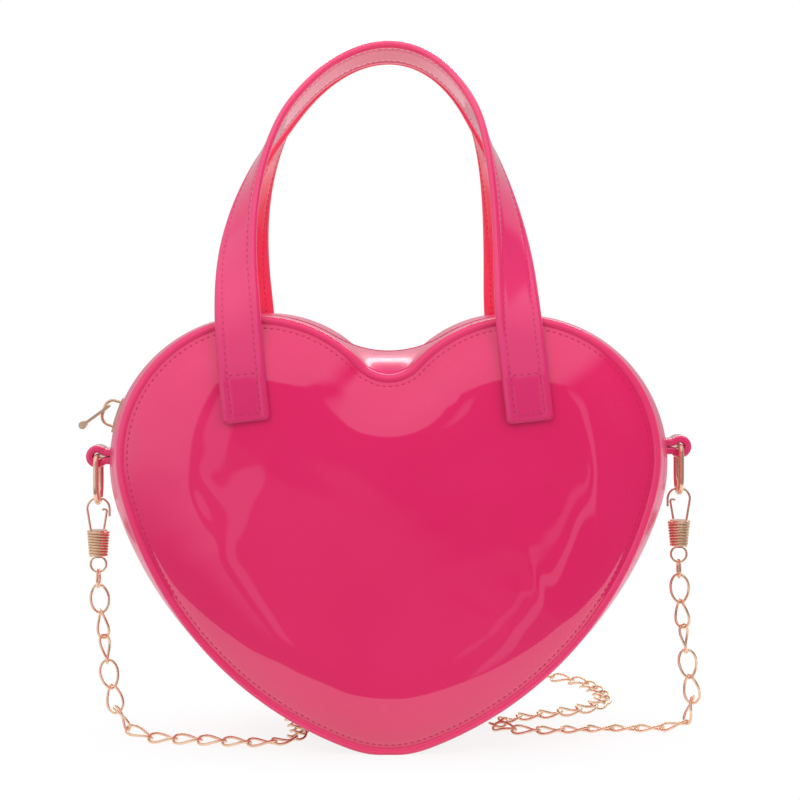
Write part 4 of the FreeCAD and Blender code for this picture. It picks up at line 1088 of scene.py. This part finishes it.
def make_floor():
    """A plain pale table top with a half round front. Away from the bag's shadow it is plain white."""
    material, place, surface = new_material("floor")
    pale = place.noise(FLOOR_CLOUDS).mixed((0.90, 0.90, 0.90, 1), (0.93, 0.93, 0.93, 1))
    wire_up(surface, {"Base Color": pale}, {"Roughness": 0.9, "Specular IOR Level": 0.0})
    white = place.node("ShaderNodeEmission", {"Color": WHITE})
    seen = place.ray("Is Camera Ray") + place.ray("Is Glossy Ray") + place.ray("Is Transmission Ray")
    round_bag = place.node("ShaderNodeVectorMath", {0: place, 1: SHADOW_NARROWING}, operation="MULTIPLY")
    away = place.node("ShaderNodeVectorMath", {0: round_bag}, output=1, operation="LENGTH")
    share = seen * (away.step(*SHADOW_REACH) * (1 - SHADOW_WHITE) + SHADOW_WHITE)
    both = place.node("ShaderNodeMixShader", {0: share, 1: Socket(place.tree, surface.outputs[0]), 2: white})
    place.tree.links.new(both.out, place.tree.nodes["Material Output"].inputs["Surface"])
    turn = np.linspace(-np.pi / 2, np.pi / 2, FLOOR_FRONT_POINTS)
    front = np.stack([FLOOR_HALF_WIDTH * np.sin(turn), FLOOR_FRONT * np.cos(turn), 0 * turn], 1)
    back = np.array([(FLOOR_BACK_HALF_WIDTH, FLOOR_BACK, 0), (-FLOOR_BACK_HALF_WIDTH, FLOOR_BACK, 0)])
    corners = np.concatenate([front, back])
    mesh = bpy.data.meshes.new("floor")
    mesh.from_pydata(corners.tolist(), [], [list(range(len(corners)))])
    mesh.materials.append(material)
    floor = bpy.data.objects.new("floor", mesh)
    bpy.context.scene.collection.objects.link(floor)


# Lights: name, place, aim, width, height, watts, whether the bag mirrors it
LIGHTS = [
    ("key", (-0.55, -0.85, 0.95), (0, 0, 0.08), 0.7, 0.5, 4.0, False),
    ("fill", (0.75, -0.65, 0.55), (0, 0, 0.09), 0.5, 0.7, 2.4, False),
    ("top", (0.0, 0.15, 1.10), (0, 0, 0.10), 0.9, 0.6, 2.0, False),
    ("back", (0.1, 1.0, 0.80), (0, 0, 0.10), 0.9, 0.22, 4.0, True),
]


def make_lights():
    """Soft boxes on both sides, above and behind. What the bag mirrors of the room comes from the world."""
    for name, place, aim, width, height, watts, mirrored_too in LIGHTS:
        data = bpy.data.lights.new(name, "AREA")
        data.shape = "RECTANGLE"
        data.size, data.size_y = width, height
        data.energy = watts
        light = bpy.data.objects.new(name, data)
        light.location = place
        x, y, z = np.array(aim) - np.array(place)
        light.rotation_euler = (math.atan2(math.hypot(x, y), -z), 0, math.atan2(y, x) - math.pi / 2)
        light.visible_glossy = mirrored_too
        bpy.context.scene.collection.objects.link(light)


# Bright parts of the room that the bag mirrors, in sines of the angle from the viewer's direction:
# left, right, soft edge of both, lean to the right with height, low, high, soft edge of both, brightness
ROOM = [
    (-3.0, -0.27, 0.02, 0.0, -0.30, 1.5, 0.35, 0.85),
    (-3.0, -0.02, 0.14, 1.0, 0.30, 1.5, 0.02, 0.85),
    (-0.20, -0.11, 0.02, 0.0, -0.32, 0.18, 0.05, 0.55),
    (0.29, 0.40, 0.02, 0.0, -0.60, 0.25, 0.05, 0.60),
    (0.13, 0.19, 0.02, 0.0, -0.35, -0.10, 0.03, 0.40),
]
ROOM_COLOUR = (0.93, 0.97, 1.10, 1)
ROOM_DARK = 0.05
ROOM_DIM = 0.16                 # low on the left of the viewer
ROOM_DIM_EDGE = (-0.07, -0.13)
ROOM_DIM_LEAN = 0.8
ROOM_BEHIND = (0.0, 0.25)       # between which the room goes over to the wall behind the bag
WALL_BEHIND = (0.55, 0.55, 0.55, 1)
PLAIN_LIGHT = (0.82, 0.82, 0.82, 1)


def make_world():
    """White for the camera, a dark side and bright walls for what mirrors them, and a plain grey light."""
    world = bpy.data.worlds.new("world")
    world.use_nodes = True
    tree = world.node_tree
    direction = Socket(tree, tree.nodes.new("ShaderNodeTexCoord").outputs["Generated"])
    parts = [direction.node("ShaderNodeSeparateXYZ", {0: direction}, output=k) for k in range(3)]
    aside, depth, height = parts
    dim = (aside * ROOM_DIM_LEAN + height).step(*ROOM_DIM_EDGE)
    bright = dim * (ROOM_DIM - ROOM_DARK) + ROOM_DARK
    for left, right, edge, lean, low, high, level_edge, level in ROOM:
        across = aside - height * lean
        wide = across.step(left - edge, left + edge) * across.step(right + edge, right - edge)
        above = height.step(low - level_edge, low + level_edge)
        below = height.step(high + level_edge, high - level_edge)
        bright = bright.math("MAXIMUM", bright, wide * (above * below) * level)
    room = bright.mixed(BLACK, ROOM_COLOUR)
    room = depth.step(*ROOM_BEHIND).mixed(room, WALL_BEHIND)
    colour = direction.ray("Is Glossy Ray").mixed(PLAIN_LIGHT, room)
    seen = direction.ray("Is Camera Ray") + direction.ray("Is Transmission Ray")
    colour = seen.mixed(colour, WHITE)
    tree.links.new(colour.out, tree.nodes["Background"].inputs["Color"])
    bpy.context.scene.world = world


make_camera()
make_chain()
make_panels()
make_beads()
make_rim_stitches()
make_gusset()
make_tapes()
make_strap("front_strap", False, ["front_handle", "front_handle_ends"], FRONT_PINK,
           FRONT_THREAD)
make_strap("rear_strap", True, ["rear_handle", "rear_handle_ends"], BACKLIT_REAR_PINK, STRAP_THREAD)
make_tabs()
make_winding("right", 1)
make_winding("left", -1)
finish_metal()
make_floor()
make_lights()
make_world()
bpy.context.scene.view_settings.view_transform = "Standard"
